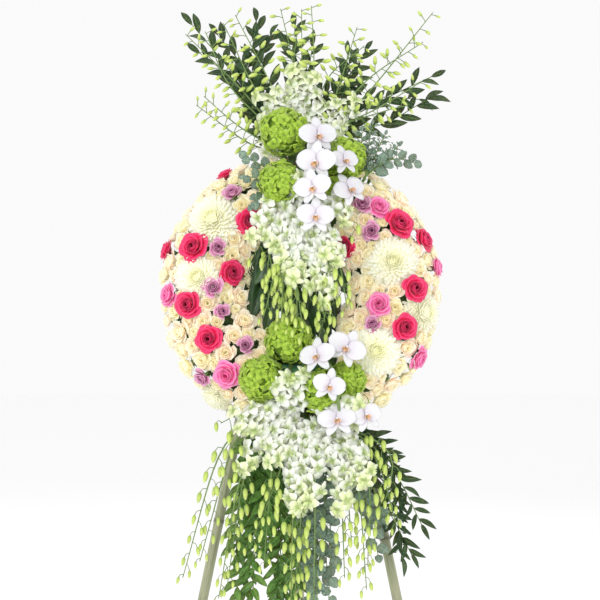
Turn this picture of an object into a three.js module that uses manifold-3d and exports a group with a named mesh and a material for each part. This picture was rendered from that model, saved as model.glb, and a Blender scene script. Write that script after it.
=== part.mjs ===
// A standing funeral wreath: a round foam ring covered with roses and large chrysanthemums, leaning
// on a bamboo tripod, with hydrangeas, moth orchids and sprays of dendrobium orchid down its middle.
// Millimetres. Everything is laid out in the ring's own frame: x to the right, y to the back, z up
// the leaning ring, with the origin at the ring's centre on its back face. At the end one group
// leans it back and stands it on the floor.
import * as THREE from "three";
import { mergeVertices } from "three/addons/utils/BufferGeometryUtils.js";
import Module from "manifold-3d";

const LEAN = THREE.MathUtils.degToRad(10);
const RING_HEIGHT = 1150; // from the floor to the ring's centre, along the leaning plane
const GAP = 0.5; // between pieces that touch

// The foam ring and the layer of base greenery over it
const RING_MIDDLE = 220; // radius of the middle of the ring
const FOAM_HALF_WIDTH = 70;
const FOAM_BACK = 4.6;
const FOAM_FRONT = 64.6;
const FOAM_CHAMFER = 30;
const TRAY_THICKNESS = 4;
const COVER_THICKNESS = 13;
const COVER_BACK = 9;
const RING_STEPS = 24;
const FOAM_OUTER = RING_MIDDLE + FOAM_HALF_WIDTH;

// The blooms' centres lie on half an ellipse round the foam
const CREST_ACROSS = 105;
const CREST_DEPTH = 85;
const CREST_BACK = 20;
const CREST_LIMIT = 0.99;

// The blocks of foam that hold the sprays, above and below the hole
const BLOCK_HALF_WIDTH = 48;
const BLOCK_NEAR = 195; // from the ring's centre
const BLOCK_FAR = 282;
const BLOCK_BACK = 79;
const BLOCK_FRONT = 112;

// The bamboo tripod
const POLE_RADIUS = 12;
const NODE_SWELL = 1.5;
const POLE_TOP = 360;
const POLE_TOP_X = 13;
const POLE_SLOPE = 0.198; // sideways per millimetre down
const POLE_Y = 12.8;
const REAR_ANGLE = THREE.MathUtils.degToRad(26); // between the rear pole and the front pair
const REAR_TOP = [0, 36.5, 345];
const REAR_LENGTH = 1620;
const LEDGE_RADIUS = 10.5;
const LEDGE_HALF_LENGTH = 178;
const LEDGE_Y = -10.2;
const LEDGE_Z = -FOAM_OUTER - 0.4 - LEDGE_RADIUS;

const COLOURS = {
  bamboo: 0xa7a67c,
  twine: 0xb59a6a,
  steel: 0x9a9c9e,
  tray: 0x2f6b3f,
  foam: 0x2f6a44,
  leaf: 0x2f4f2b,
  ruscus: 0x3f6f2c,
  eucalyptus: 0x6f8f80,
  cream: 0xf2e0c2,
  red: 0xc81f4c,
  pink: 0xe8609c,
  mum: 0xeef0cf,
  hydrangea: 0x9ccc3c,
  orchid: 0xeee8f2,
  dendrobium: 0xe9efcf,
};

const UP = new THREE.Vector3(0, 0, 1);
const FRONT = new THREE.Vector3(0, -1, 0);
const vector = (x, y, z) => new THREE.Vector3(x, y, z);

const library = await Module();
library.setup();

// Numbers from 0 to 1 that come out the same on every run.
function seededDraw(seed) {
  let state = seed;
  return () => {
    state = (state * 16807) % 2147483647;
    return state / 2147483647;
  };
}

// A closed geometry as a solid, turned the right way out.
function solidOf(geometry) {
  const bare = new THREE.BufferGeometry();
  bare.setAttribute("position", geometry.getAttribute("position").clone());
  if (geometry.index) bare.setIndex(geometry.index.clone());
  const merged = mergeVertices(bare, 1e-3);
  const corners = merged.index.array;
  const faces = [];
  for (let i = 0; i < corners.length; i += 3) {
    const [a, b, c] = [corners[i], corners[i + 1], corners[i + 2]];
    if (a !== b && b !== c && a !== c) faces.push(a, b, c);
  }
  const build = (triangles) =>
    new library.Manifold(
      new library.Mesh({
        numProp: 3,
        vertProperties: new Float32Array(merged.getAttribute("position").array),
        triVerts: new Uint32Array(triangles),
      }),
    );
  const made = build(faces);
  return made.volume() > 0 ? made : build(faces.reverse());
}

// All the solids joined in pairs, so that no join is between two large ones until the end.
function joined(solids) {
  let left = solids;
  while (left.length > 1) {
    const next = [];
    for (let i = 0; i < left.length; i += 2) {
      next.push(i + 1 < left.length ? left[i].add(left[i + 1]) : left[i]);
    }
    left = next;
  }
  return left[0];
}

// The largest body, so that a scrap cut loose by a neighbour is dropped.
function largest(solid) {
  return solid.decompose().reduce((a, b) => (a.volume() > b.volume() ? a : b));
}

function cut(solid, tools) {
  return tools.length ? largest(solid.subtract(joined(tools))) : largest(solid);
}

const group = new THREE.Group();

function place(name, solid, colour, roughness = 0.75) {
  const mesh = solid.getMesh();
  const geometry = new THREE.BufferGeometry();
  geometry.setAttribute("position", new THREE.BufferAttribute(mesh.vertProperties, 3));
  geometry.setIndex(new THREE.BufferAttribute(mesh.triVerts, 1));
  geometry.computeVertexNormals();
  const material = new THREE.MeshStandardMaterial({ color: colour, roughness, metalness: 0 });
  const made = new THREE.Mesh(geometry, material);
  made.name = name;
  group.add(made);
}

// A shape turned about z. Each tier is [radius, height, wave, turn, lift]: wave moves the rim in and
// out in lobes, turn shifts the lobes round, and lift raises them.
function turned(tiers, sides, lobes = 0) {
  const outline = tiers.map(([radius, height]) => new THREE.Vector2(radius, height));
  const geometry = new THREE.LatheGeometry(outline, sides);
  const points = geometry.getAttribute("position");
  for (let i = 0; i < points.count; i += 1) {
    const [radius, height, wave = 0, turn = 0, lift = 0] = tiers[i % tiers.length];
    const angle = ((Math.floor(i / tiers.length) % sides) * 2 * Math.PI) / sides;
    const swell = Math.cos(lobes * angle + turn);
    const reach = radius * (1 + wave * swell);
    points.setXYZ(i, reach * Math.cos(angle), reach * Math.sin(angle), height + lift * swell);
  }
  return geometry;
}

// The matrix that puts z along axis, turned by spin about it.
function facing(origin, axis, spin = 0) {
  const along = axis.clone().normalize();
  const turn = new THREE.Quaternion().setFromUnitVectors(UP, along);
  const about = new THREE.Quaternion().setFromAxisAngle(along, spin);
  return new THREE.Matrix4().compose(origin, about.multiply(turn), vector(1, 1, 1));
}

// The matrix that puts z along direction with y as near to normal as it can be.
function lying(origin, direction, normal) {
  const z = direction.clone().normalize();
  const x = normal.clone().cross(z).normalize();
  const y = z.clone().cross(x);
  return new THREE.Matrix4().makeBasis(x, y, z).setPosition(origin);
}

// An open flower: a rim that runs out to each petal's tip and in between them, with a root behind.
function flower(rim, radius, root, bulge) {
  const sides = rim.length;
  const geometry = turned([[0, -root], [radius, 0], [0, bulge]], sides);
  const points = geometry.getAttribute("position");
  for (let i = 1; i < points.count; i += 3) {
    const share = rim[Math.floor(i / 3) % sides];
    points.setXYZ(i, points.getX(i) * share, points.getY(i) * share, points.getZ(i));
  }
  return geometry;
}

// A leaf: three-sided across, flat behind with a ridge in front, bent by droop towards its back.
function blade(length, width, thickness, droop, widths) {
  const tiers = [[0, 0], ...widths.map(([share, at]) => [share * width, at * length]), [0, length]];
  const geometry = turned(tiers, 3).rotateZ(Math.PI / 2);
  geometry.scale(2 / Math.sqrt(3), (4 * thickness) / (3 * width), 1);
  const points = geometry.getAttribute("position");
  for (let i = 0; i < points.count; i += 1) {
    const along = points.getZ(i) / length;
    points.setY(i, points.getY(i) - droop * along * along);
  }
  return geometry;
}

function put(geometry, matrix) {
  return solidOf(geometry.applyMatrix4(matrix));
}

function stem(route, radius, steps, sides = 3) {
  const section = new THREE.Shape();
  for (let i = 0; i < sides; i += 1) {
    const angle = (2 * Math.PI * i) / sides;
    const point = [radius * Math.cos(angle), radius * Math.sin(angle)];
    if (i) section.lineTo(...point);
    else section.moveTo(...point);
  }
  return solidOf(
    new THREE.ExtrudeGeometry(section, { steps, extrudePath: route, bevelEnabled: false }),
  );
}

const smooth = (points) => new THREE.CatmullRomCurve3(points.map((p) => vector(...p)));

// A stem in straight steps along a smooth route, with the place and direction at any share of it.
function steppedStem(route, radius, steps, sides = 3) {
  const curve = smooth(route);
  const knots = curve.getSpacedPoints(steps);
  const at = (share) => {
    const step = Math.min(steps - 1, Math.floor(share * steps));
    const point = knots[step].clone().lerp(knots[step + 1], share * steps - step);
    return { point, along: knots[step + 1].clone().sub(knots[step]).normalize() };
  };
  return { solid: stem(curve, radius, steps, sides), at };
}

// The ring

// Half of the foam's outline, grown outwards: [from the ring's middle, depth].
function foamOutline(grow, back) {
  const side = FOAM_HALF_WIDTH + grow;
  const corner = grow * 0.41;
  return [
    [side, back],
    [side, FOAM_FRONT - FOAM_CHAMFER + corner],
    [side - FOAM_CHAMFER - grow + corner, FOAM_FRONT + grow],
  ];
}

const mirrored = (half) => [...half, ...half.map(([x, y]) => [-x, y]).reverse()];

// An outline swept about the ring's axis from one step of the ring to another.
function arc(outline, from, to, closed = false) {
  const steps = Math.round(to - from);
  const columns = closed ? steps : steps + 1;
  const points = [];
  for (let i = 0; i < columns; i += 1) {
    const angle = ((from + ((to - from) * i) / steps) * 2 * Math.PI) / RING_STEPS;
    for (const [across, depth] of outline) {
      const reach = RING_MIDDLE + across;
      points.push(reach * Math.cos(angle), -depth, reach * Math.sin(angle));
    }
  }
  const faces = [];
  const n = outline.length;
  for (let i = 0; i < steps; i += 1) {
    const next = (i + 1) % columns;
    for (let j = 0; j < n; j += 1) {
      const k = (j + 1) % n;
      faces.push(i * n + j, next * n + j, i * n + k, i * n + k, next * n + j, next * n + k);
    }
  }
  if (!closed) {
    const flat = outline.map(([x, y]) => new THREE.Vector2(x, y));
    const last = steps * n;
    for (const [a, b, c] of THREE.ShapeUtils.triangulateShape(flat, [])) {
      faces.push(a, b, c, last + a, last + c, last + b);
    }
  }
  const geometry = new THREE.BufferGeometry();
  geometry.setAttribute("position", new THREE.Float32BufferAttribute(points, 3));
  geometry.setIndex(faces);
  return geometry;
}

const coverOutline = (grow) => [
  ...mirrored(foamOutline(COVER_THICKNESS + grow, COVER_BACK - grow)),
  ...mirrored(foamOutline(GAP - grow, COVER_BACK - grow)).reverse(),
];

// Where a bloom sits at a place on the ring, seen from the front, and which way it faces.
function onRing(u, v) {
  const reach = Math.hypot(u, v);
  const across = THREE.MathUtils.clamp((reach - RING_MIDDLE) / CREST_ACROSS, -CREST_LIMIT, CREST_LIMIT);
  const front = Math.sqrt(1 - across * across);
  const outward = vector(u / reach, 0, v / reach);
  const normal = outward
    .clone()
    .multiplyScalar(across / CREST_ACROSS)
    .addScaledVector(FRONT, front / CREST_DEPTH)
    .normalize();
  const centre = outward
    .multiplyScalar(RING_MIDDLE + across * CREST_ACROSS)
    .addScaledVector(FRONT, CREST_BACK + front * CREST_DEPTH);
  return { centre, normal };
}

// How far it is from a bloom's centre straight back to the foam.
function rootLength({ centre, normal }) {
  let length = 10;
  for (; length < 70; length += 0.5) {
    const point = centre.clone().addScaledVector(normal, -length);
    const across = Math.abs(Math.hypot(point.x, point.z) - RING_MIDDLE);
    const depth = -point.y;
    const inside = across < FOAM_HALF_WIDTH && depth > FOAM_BACK && depth < FOAM_FRONT;
    if (inside && across + depth < FOAM_HALF_WIDTH + FOAM_FRONT - FOAM_CHAMFER) break;
  }
  return length - 3.2;
}

// Blooms. Their tiers are shares of the bloom's radius, from the lowest petals to the heart.
const ROSE_TIERS = [
  [0.99, 0.02, 0.06, 0, 0.05],
  [0.72, -0.04],
  [0.66, 0.36, 0.08, Math.PI, 0.05],
  [0.36, 0.24, 0.08],
  [0, 0.5],
];
const SMALL_ROSE_TIERS = [
  [1, 0.05, 0.08, 0, 0.06],
  [0.58, 0.36, 0.1, Math.PI, 0.05],
  [0, 0.2],
];
const MUM_TIERS = [
  [0.97, -0.34, 0.05, 0, -0.03],
  [0.78, -0.14],
  [0.82, 0.0, 0.06, Math.PI, -0.03],
  [0.5, 0.06],
  [0.5, 0.22, 0.08, 0, -0.02],
  [0, 0.18],
];

const BLOOM_KINDS = {
  rose: { tiers: ROSE_TIERS, sides: 8, lobes: 4, stalk: 0.2 },
  small: { tiers: SMALL_ROSE_TIERS, sides: 6, lobes: 3, stalk: 0 },
  mum: { tiers: MUM_TIERS, sides: 14, lobes: 7, stalk: 0.1 },
};

function bloom({ kind, u, v, radius, lift = 0, spin = 0 }) {
  const seat = onRing(u, v);
  const root = rootLength(seat) + lift;
  const { tiers, sides, lobes, stalk } = BLOOM_KINDS[kind];
  const scaled = tiers.map(([r, h, wave, turn, rise = 0]) => [
    r * radius,
    h * radius,
    wave,
    turn,
    rise * radius,
  ]);
  const collar = COVER_THICKNESS + 2 - root;
  const stalkTiers = [[0, -root]];
  if (stalk) stalkTiers.push([stalk * radius, collar]);
  const centre = seat.centre.clone().addScaledVector(seat.normal, lift);
  return put(turned([...stalkTiers, ...scaled], sides, lobes), facing(centre, seat.normal, spin));
}

// The room that a bloom needs, open to the front, with a gap all round it.
function pocket({ kind, u, v, radius, lift = 0 }) {
  const seat = onRing(u, v);
  const root = rootLength(seat) + lift + 1;
  const sides = 8;
  const grow = 1 / Math.cos(Math.PI / sides);
  const { tiers, stalk } = BLOOM_KINDS[kind];
  const rim = tiers[0][1] - 0.08;
  const widest = (1.08 * radius + GAP) * grow;
  const narrow = (stalk * radius + GAP + 0.3) * grow;
  const outline = [[0, -root]];
  if (stalk) outline.push([narrow, COVER_THICKNESS + 1.5 - root]);
  outline.push([widest, rim * radius], [widest, 3 * radius], [0, 3 * radius]);
  const centre = seat.centre.clone().addScaledVector(seat.normal, lift);
  return put(turned(outline, sides), facing(centre, seat.normal));
}

// Places of the single blooms, seen from the front: [node, across, up, radius, lift]
const RED_ROSES = [
  ["red_rose_top_left", -178, 276, 25, 0],
  ["red_rose_upper_left", -122, 154, 33, 6],
  ["red_rose_outer_left", -312, 92, 29, 0],
  ["red_rose_left", -250, 86, 36, 10],
  ["red_rose_inner_left", -166, 29, 30, 6],
  ["red_rose_middle_left", -262, -50, 32, 8],
  ["red_rose_lower_left", -214, -132, 32, 6],
  ["red_rose_upper_right", 233, 144, 36, 10],
  ["red_rose_outer_right", 291, 112, 31, 0],
  ["red_rose_inner_right", 110, 96, 27, 0],
  ["red_rose_middle_right", 266, -12, 31, 16],
  ["red_rose_lower_right", 242, -103, 31, 16],
];
const PINK_ROSES = [
  ["pink_rose_outer_left", -308, -22, 28, 0],
  ["pink_rose_lower_left", -170, -214, 33, 8],
  ["pink_rose_upper_right", 186, 186, 27, 6],
  ["pink_rose_outer_right", 319, 50, 27, 0],
  ["pink_rose_middle_right", 190, -52, 29, 6],
  ["pink_rose_lower_right", 272, -165, 28, 4],
];
const MUMS = [
  ["chrysanthemum_upper_left", -212, 160, 68, 0],
  ["chrysanthemum_left", -246, 18, 62, -4],
  ["chrysanthemum_lower_left", -200, -262, 44, 0],
  ["chrysanthemum_right", 222, 54, 66, 0],
  ["chrysanthemum_outer_right", 296, -64, 56, -4],
  ["chrysanthemum_lower_right", 180, -162, 66, 0],
];
const LAVENDER_ROSES = [
  [-160, 218, 22],
  [-196, 86, 20],
  [-208, -12, 24],
  [-186, -70, 18],
  [-130, -152, 20],
  [-222, -212, 21],
  [148, 190, 22],
  [172, 126, 22],
  [174, -100, 20],
];

const named = (kind) => ([name, u, v, radius, lift], index) => ({
  name,
  kind,
  u,
  v,
  radius,
  lift,
  spin: index,
});
const reds = RED_ROSES.map(named("rose"));
const pinks = PINK_ROSES.map(named("rose"));
const mums = MUMS.map(named("mum"));

// The parts that the cover and its small roses are in, by steps round the ring
const SECTORS = [
  { name: "small_roses_right_upper", from: 2, to: 5 },
  { name: "top_base_leaves", from: 5, to: 7 },
  { name: "small_roses_left_upper", from: 7, to: 10 },
  { name: "small_roses_left_middle", from: 10, to: 14 },
  { name: "small_roses_left_lower", from: 14, to: 17 },
  { name: "bottom_base_leaves", from: 17, to: 19 },
  { name: "small_roses_right_lower", from: 19, to: 22 },
  { name: "small_roses_right_middle", from: 22, to: 26 },
];
const partOf = ({ u, v }) => {
  const turn = (Math.atan2(v, u) * RING_STEPS) / (2 * Math.PI);
  const step = turn < SECTORS[0].from ? turn + RING_STEPS : turn;
  return SECTORS.find(({ from, to }) => step >= from && step < to).name;
};

// Small roses fill what the large blooms leave, the largest first, by a seeded draw.
const FILL = [
  { radius: 28, tries: 1500 },
  { radius: 23, tries: 3000 },
  { radius: 18, tries: 5000 },
];
const FILL_SEED = 4711;
const FILL_CLOSENESS = 0.98; // to a small rose of the same part of the ring
const FILL_CLEARANCE = 1.06; // to every other bloom
const FILL_INNER = 124;
const FILL_OUTER = 324;
const FILL_LEFT = -92;
const FILL_RIGHT = 118;
const FILL_TOP = 292;

function fillWings(taken) {
  const draw = seededDraw(FILL_SEED);
  const found = [];
  const all = taken.map((b) => ({ centre: onRing(b.u, b.v).centre, radius: b.radius }));
  for (const { radius, tries } of FILL) {
    for (let i = 0; i < tries; i += 1) {
      const u = (draw() * 2 - 1) * FILL_OUTER;
      const v = (draw() * 2 - 1) * FILL_OUTER;
      const reach = Math.hypot(u, v);
      const inWing = u < FILL_LEFT || u > FILL_RIGHT;
      if (!inWing || reach < FILL_INNER || reach > FILL_OUTER || Math.abs(v) > FILL_TOP) continue;
      const { centre } = onRing(u, v);
      const part = partOf({ u, v });
      const share = (b) => (b.part === part ? FILL_CLOSENESS : FILL_CLEARANCE);
      if (all.every((b) => b.centre.distanceTo(centre) > share(b) * (radius + b.radius))) {
        all.push({ centre, radius, part });
        found.push({ kind: "small", u, v, radius, lift: 0, spin: i });
      }
    }
  }
  return found;
}

// Hydrangea heads: [across, back, up, radius], and where each one's stalk goes in
const HYDRANGEAS = {
  hydrangea_top: [{ at: [-38, -140, 366], radius: 54, seat: [-46, -104, 262] }],
  hydrangea_upper: [{ at: [-47, -157, 234], radius: 48, seat: [-30, -96, 240] }],
  hydrangea_right: [
    { at: [112, -116, 306], radius: 45, seat: [86, -114, 228] },
    { at: [86, -114, 228], radius: 42, seat: [80, -60, 226] },
  ],
  hydrangea_centre: [{ at: [-26, -132, -140], radius: 53, seat: [-20, -100, -230] }],
  hydrangea_lower_left: [{ at: [-90, -134, -232], radius: 50, seat: [-60, -60, -210] }],
  hydrangea_lower_right: [
    { at: [54, -156, -264], radius: 50, seat: [30, -100, -250] },
    { at: [112, -124, -232], radius: 38, seat: [90, -60, -220] },
  ],
};
const FLORETS_PER_HEAD = 12;
const CORE_SHARE = 0.8;
const FLORET_SHARE = 0.46;
const GOLDEN_ANGLE = Math.PI * (3 - Math.sqrt(5));

function hydrangeaHead({ at, radius, seat }) {
  const centre = vector(...at);
  const toSeat = vector(...seat).sub(centre);
  const back = toSeat.clone().normalize();
  const core = new THREE.IcosahedronGeometry(radius * CORE_SHARE, 0);
  const pieces = [put(core, new THREE.Matrix4().makeTranslation(...at))];
  const stalk = [[0, 0], [6, 0], [6, toSeat.length()], [0, toSeat.length()]];
  pieces.push(put(turned(stalk, 6), facing(centre, back)));
  for (let i = 0; i < FLORETS_PER_HEAD; i += 1) {
    const height = 1 - (2 * (i + 0.5)) / FLORETS_PER_HEAD;
    const ring = Math.sqrt(1 - height * height);
    const angle = i * GOLDEN_ANGLE;
    const out = vector(ring * Math.cos(angle), height, ring * Math.sin(angle));
    if (out.dot(back) > 0.45) continue;
    const petals = flower([1, 1, 1, 1], radius * FLORET_SHARE, radius * 0.4, -2);
    pieces.push(put(petals, facing(centre.clone().addScaledVector(out, radius * 0.95), out, i)));
  }
  return joined(pieces);
}

// Orchids. A moth orchid has two broad petals, three sepals and a lip.
const PETAL_WIDTHS = [
  [0.36, 0.3],
  [0.5, 0.66],
];
const LEAF_WIDTHS = [[0.5, 0.45]];

const MOTH_RIM = [0.98, 1, 0.55, 0.96, 0.55, 1, 0.98, 0.56, 0.9, 0.36, 0.9, 0.56];
const MOTH_RADIUS = 48;

function mothOrchid({ at, normal, size = 1, roll = 0 }) {
  const centre = vector(...at);
  const out = vector(...normal).normalize();
  const up = vector(-Math.sin(roll), 0, Math.cos(roll));
  const matrix = lying(centre, out, up);
  const lip = turned([[0, -3], [9, 4], [0, 14]], 3);
  const lipAt = centre.clone().addScaledVector(up, -7 * size);
  return [
    put(flower(MOTH_RIM, MOTH_RADIUS * size, 5, 1.5), matrix),
    put(lip, facing(lipAt, out)),
  ];
}

// A stem with flowers and buds. Flowers run from its start, buds to its tip.
const FLORET_RIM = [1, 0.42, 1, 0.42, 1, 0.42];
const FLORET_RADIUS = 20;
const FLORET_REACH = 15;
const BUD_LENGTH = 25;

function orchidSpray({ route, flowers, buds, from = 0.25, swap = 1, outward = 0.75 }) {
  const line = steppedStem(route, 2.6, 4);
  const pieces = [line.solid];
  const count = flowers + buds;
  for (let i = 0; i < count; i += 1) {
    const { point, along } = line.at(from + ((0.985 - from) * i) / Math.max(1, count - 1));
    const side = along.clone().cross(FRONT).normalize().multiplyScalar(i % 2 ? swap : -swap);
    const isFlower = i < flowers;
    const out = side
      .multiplyScalar(isFlower ? 0.7 : 1)
      .addScaledVector(FRONT, isFlower ? outward : 0.35)
      .addScaledVector(along, 0.55)
      .normalize();
    if (isFlower) {
      const centre = point.clone().addScaledVector(out, FLORET_REACH);
      const petals = flower(FLORET_RIM, FLORET_RADIUS, FLORET_REACH + 1, 3);
      pieces.push(put(petals, facing(centre, out, i)));
    } else {
      const scale = 1 - (0.4 * (i - flowers)) / Math.max(1, buds);
      const bud = [[0, -0.8], [5.2 * scale, 15 * scale], [0, BUD_LENGTH * scale]];
      pieces.push(put(turned(bud, 3), facing(point, out, i)));
    }
  }
  return pieces;
}

// A stem with leaves in pairs or alternate.
function leafyStem({ route, leaves, length, width, from = 0.2, spread = 0.9, tilt = 0 }) {
  const line = steppedStem(route, 2.4, 3);
  const pieces = [line.solid];
  for (let i = 0; i < leaves; i += 1) {
    const { point, along } = line.at(from + ((0.99 - from) * i) / Math.max(1, leaves - 1));
    const side = along.clone().cross(FRONT).normalize().multiplyScalar(i % 2 ? 1 : -1);
    const last = i === leaves - 1;
    const direction = along.clone().addScaledVector(side, last ? 0 : spread);
    const normal = FRONT.clone().addScaledVector(side, tilt);
    const root = point.clone().addScaledVector(direction.normalize(), -0.6);
    const size = 1 - 0.35 * (i / leaves);
    const leaf = blade(length * size, width * size, 2.2, 3, LEAF_WIDTHS);
    pieces.push(put(leaf, lying(root, direction, normal)));
  }
  return pieces;
}

// The end of a bunch's stems, in its hole in a foam block.
const PLUG_RADIUS = 7;
const PLUG_DEPTH = 26;

function plug([x, y, z], towards, reach, grow = 0) {
  const deep = PLUG_DEPTH + 2 * grow;
  const radius = PLUG_RADIUS + grow;
  const profile = [[0, -deep], [radius, -deep], [radius, reach], [0, reach]];
  return put(turned(profile, 6), facing(vector(x, y, z), vector(...towards)));
}

function boxOf([x0, x1], [y0, y1], [z0, z1]) {
  const box = new THREE.BoxGeometry(x1 - x0, y1 - y0, z1 - z0);
  box.translate((x0 + x1) / 2, (y0 + y1) / 2, (z0 + z1) / 2);
  return solidOf(box);
}

function foamBlock(side, grow = 0) {
  const span = side > 0 ? [BLOCK_NEAR, BLOCK_FAR] : [-BLOCK_FAR, -BLOCK_NEAR];
  return boxOf(
    [-BLOCK_HALF_WIDTH - grow, BLOCK_HALF_WIDTH + grow],
    [-BLOCK_FRONT - grow, -BLOCK_BACK + grow],
    [span[0] - grow, span[1] + grow],
  );
}

const TOP = BLOCK_FAR;
const UPWARDS = [0, 0, 1];
const DOWNWARDS = [0, 0, -1];
const FORWARDS = [0, -1, 0];
const PLUGS = {
  top_leaves: [[-24, -89, TOP], UPWARDS, 22],
  top_dendrobium: [[12, -101, TOP], UPWARDS, 56],
  upper_moth_orchids: [[34, -BLOCK_FRONT, 258], FORWARDS, 8],
  middle_dendrobium: [[6, -100, BLOCK_NEAR], DOWNWARDS, 34],
  centre_leaves: [[-26, -92, BLOCK_NEAR], DOWNWARDS, 8],
  lower_moth_orchids: [[38, -BLOCK_FRONT, -212], FORWARDS, 8],
  bottom_dendrobium: [[12, -102, -TOP], DOWNWARDS, 50],
  bottom_ruscus: [[-32, -92, -TOP], DOWNWARDS, 24],
  bottom_eucalyptus: [[-10, -90, -TOP], DOWNWARDS, 18],
  bottom_olive: [[34, -90, -TOP], DOWNWARDS, 18],
};

// Sprays of dendrobium: open flowers, buds, and four points that the stem runs through
const spray = (flowers, buds, ...route) => ({ route, flowers, buds });
const TOP_SPRAYS = [
  spray(1, 4, [4, -101, 332], [-50, -64, 380], [-150, -70, 500], [-283, -90, 630]),
  spray(1, 3, [8, -101, 326], [-60, -64, 350], [-150, -70, 400], [-236, -84, 472]),
  spray(2, 3, [6, -101, 320], [-26, -64, 400], [-80, -84, 520], [-160, -100, 676]),
  spray(3, 2, [10, -101, 314], [0, -64, 400], [-14, -90, 540], [-48, -105, 690]),
  spray(3, 2, [8, -101, 308], [22, -64, 400], [34, -110, 540], [28, -120, 692]),
  spray(2, 2, [10, -101, 296], [50, -70, 380], [95, -70, 500], [142, -70, 655]),
  spray(2, 4, [16, -101, 290], [70, -70, 380], [180, -70, 500], [330, -80, 690]),
  spray(1, 3, [12, -101, 284], [80, -70, 390], [180, -84, 436], [300, -90, 508]),
];
const MIDDLE_SPRAYS = [
  spray(4, 2, [4, -104, 192], [-30, -150, 150], [-72, -158, 60], [-74, -170, -66]),
  spray(4, 2, [8, -104, 186], [-14, -152, 130], [-36, -166, 50], [-44, -198, -110]),
  spray(4, 3, [4, -104, 180], [0, -148, 110], [-8, -168, 20], [-6, -200, -120]),
  spray(5, 2, [10, -104, 174], [30, -146, 100], [44, -160, 10], [58, -176, -104]),
  spray(4, 2, [6, -104, 168], [60, -160, 110], [92, -162, 40], [110, -168, -70]),
];
const BOTTOM_SPRAYS = [
  spray(2, 4, [8, -104, -284], [-110, -150, -330], [-190, -150, -420], [-268, -140, -690]),
  spray(3, 3, [12, -104, -290], [-70, -140, -350], [-136, -150, -460], [-186, -130, -736]),
  spray(5, 3, [14, -104, -302], [0, -150, -370], [-14, -170, -500], [-22, -150, -796]),
  spray(4, 3, [10, -104, -308], [24, -160, -380], [34, -170, -500], [30, -146, -812]),
  spray(5, 2, [16, -104, -314], [66, -150, -380], [92, -160, -470], [102, -140, -690]),
  spray(4, 2, [12, -104, -320], [110, -144, -370], [136, -150, -500], [152, -136, -716]),
  spray(1, 3, [16, -104, -326], [130, -140, -360], [184, -146, -440], [222, -140, -572]),
];

// Leafy stems: broad glossy leaves at the top, and trailing ones below
const TOP_STEMS = [
  [[-26, -89, 284], [-60, -22, 400], [-150, -20, 530], [-276, 0, 690]],
  [[-22, -89, 288], [-44, -18, 420], [-90, -12, 560], [-112, 10, 704]],
  [[-24, -89, 292], [-16, -16, 420], [-10, 0, 560], [-14, 20, 690]],
  [[-20, -89, 296], [20, -18, 400], [90, -10, 500], [166, 10, 622]],
  [[-24, -89, 300], [40, -20, 380], [180, -16, 470], [334, 0, 552]],
];
const RUSCUS_STEMS = [
  [[-34, -92, -285], [-76, -60, -420], [-100, -56, -560], [-112, -60, -764]],
  [[-30, -92, -293], [-56, -56, -440], [-50, -52, -600], [-60, -50, -790]],
  [[-34, -92, -301], [-110, -60, -390], [-140, -60, -500], [-150, -60, -640]],
];
const EUCALYPTUS_STEMS = [
  [[-10, -90, -285], [40, -84, -420], [70, -84, -560], [66, -84, -760]],
  [[-6, -90, -293], [80, -86, -400], [150, -86, -500], [182, -84, -640]],
];
const OLIVE_STEMS = [
  [[32, -90, -285], [120, -54, -360], [220, -52, -440], [288, -50, -570]],
  [[36, -90, -293], [110, -50, -400], [200, -48, -520], [264, -46, -640]],
];
const SEEDED_ROOT = [150, 250];
const CENTRE_LEAVES = [
  { direction: [-0.5, -0.05, -1], length: 190, width: 66, along: 0.25 },
  { direction: [0.62, -0.05, -1], length: 170, width: 60, along: 0.4 },
  { direction: [0.05, -0.05, -1], length: 150, width: 60, along: 0.95 },
  { direction: [0.25, -0.05, -1], length: 190, width: 60, along: 0.6 },
  { direction: [-0.2, -0.05, -1], length: 170, width: 56, along: 0.7 },
];

// Moth orchids on their two stems
const UPPER_ORCHIDS = [
  { at: [42, -186, 344], normal: [0.1, -1, 0.1], roll: 0.1 },
  { at: [38, -206, 274], normal: [-0.1, -1, -0.05], roll: -0.1, size: 1.05 },
  { at: [30, -222, 208], normal: [-0.15, -1, 0.05], roll: 0.15, size: 0.95 },
  { at: [36, -212, 142], normal: [0, -1, -0.05], roll: -0.05, size: 0.95 },
  { at: [104, -182, 284], normal: [0.7, -1, 0.1], roll: 0.2, size: 0.85 },
  { at: [116, -176, 214], normal: [0.3, -1, 0.15], roll: 0.5, size: 0.95 },
];
const LOWER_ORCHIDS = [
  { at: [40, -204, -186], normal: [-0.2, -1, 0.05], roll: 0.1, size: 0.95 },
  { at: [108, -190, -166], normal: [0.25, -1, 0.1], roll: -0.5, size: 1 },
  { at: [66, -226, -258], normal: [0.1, -1, 0], roll: -0.2, size: 0.85 },
  { at: [84, -206, -334], normal: [0.1, -1, 0.1], roll: 0.1, size: 0.95 },
  { at: [150, -180, -322], normal: [0.3, -1, 0.1], roll: 0.3, size: 0.9 },
];

// The tripod

function bamboo(length, joints) {
  const swollen = POLE_RADIUS + NODE_SWELL;
  const profile = [[0, 0], [POLE_RADIUS, 0]];
  for (const at of joints) {
    profile.push([POLE_RADIUS, at - 5], [swollen, at], [POLE_RADIUS, at + 5]);
  }
  profile.push([POLE_RADIUS, length], [0, length]);
  return turned(profile, 8);
}

const leaning = new THREE.Matrix4()
  .makeRotationX(-LEAN)
  .multiply(new THREE.Matrix4().makeTranslation(0, 0, RING_HEIGHT));

// Everything below the floor, seen from the ring's frame
function underFloor() {
  const ground = new THREE.BoxGeometry(3000, 3000, 600);
  ground.translate(0, 0, -300);
  return solidOf(ground.applyMatrix4(leaning.clone().invert()));
}

const poleX = (z) => POLE_TOP_X + POLE_SLOPE * (POLE_TOP - z);

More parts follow.
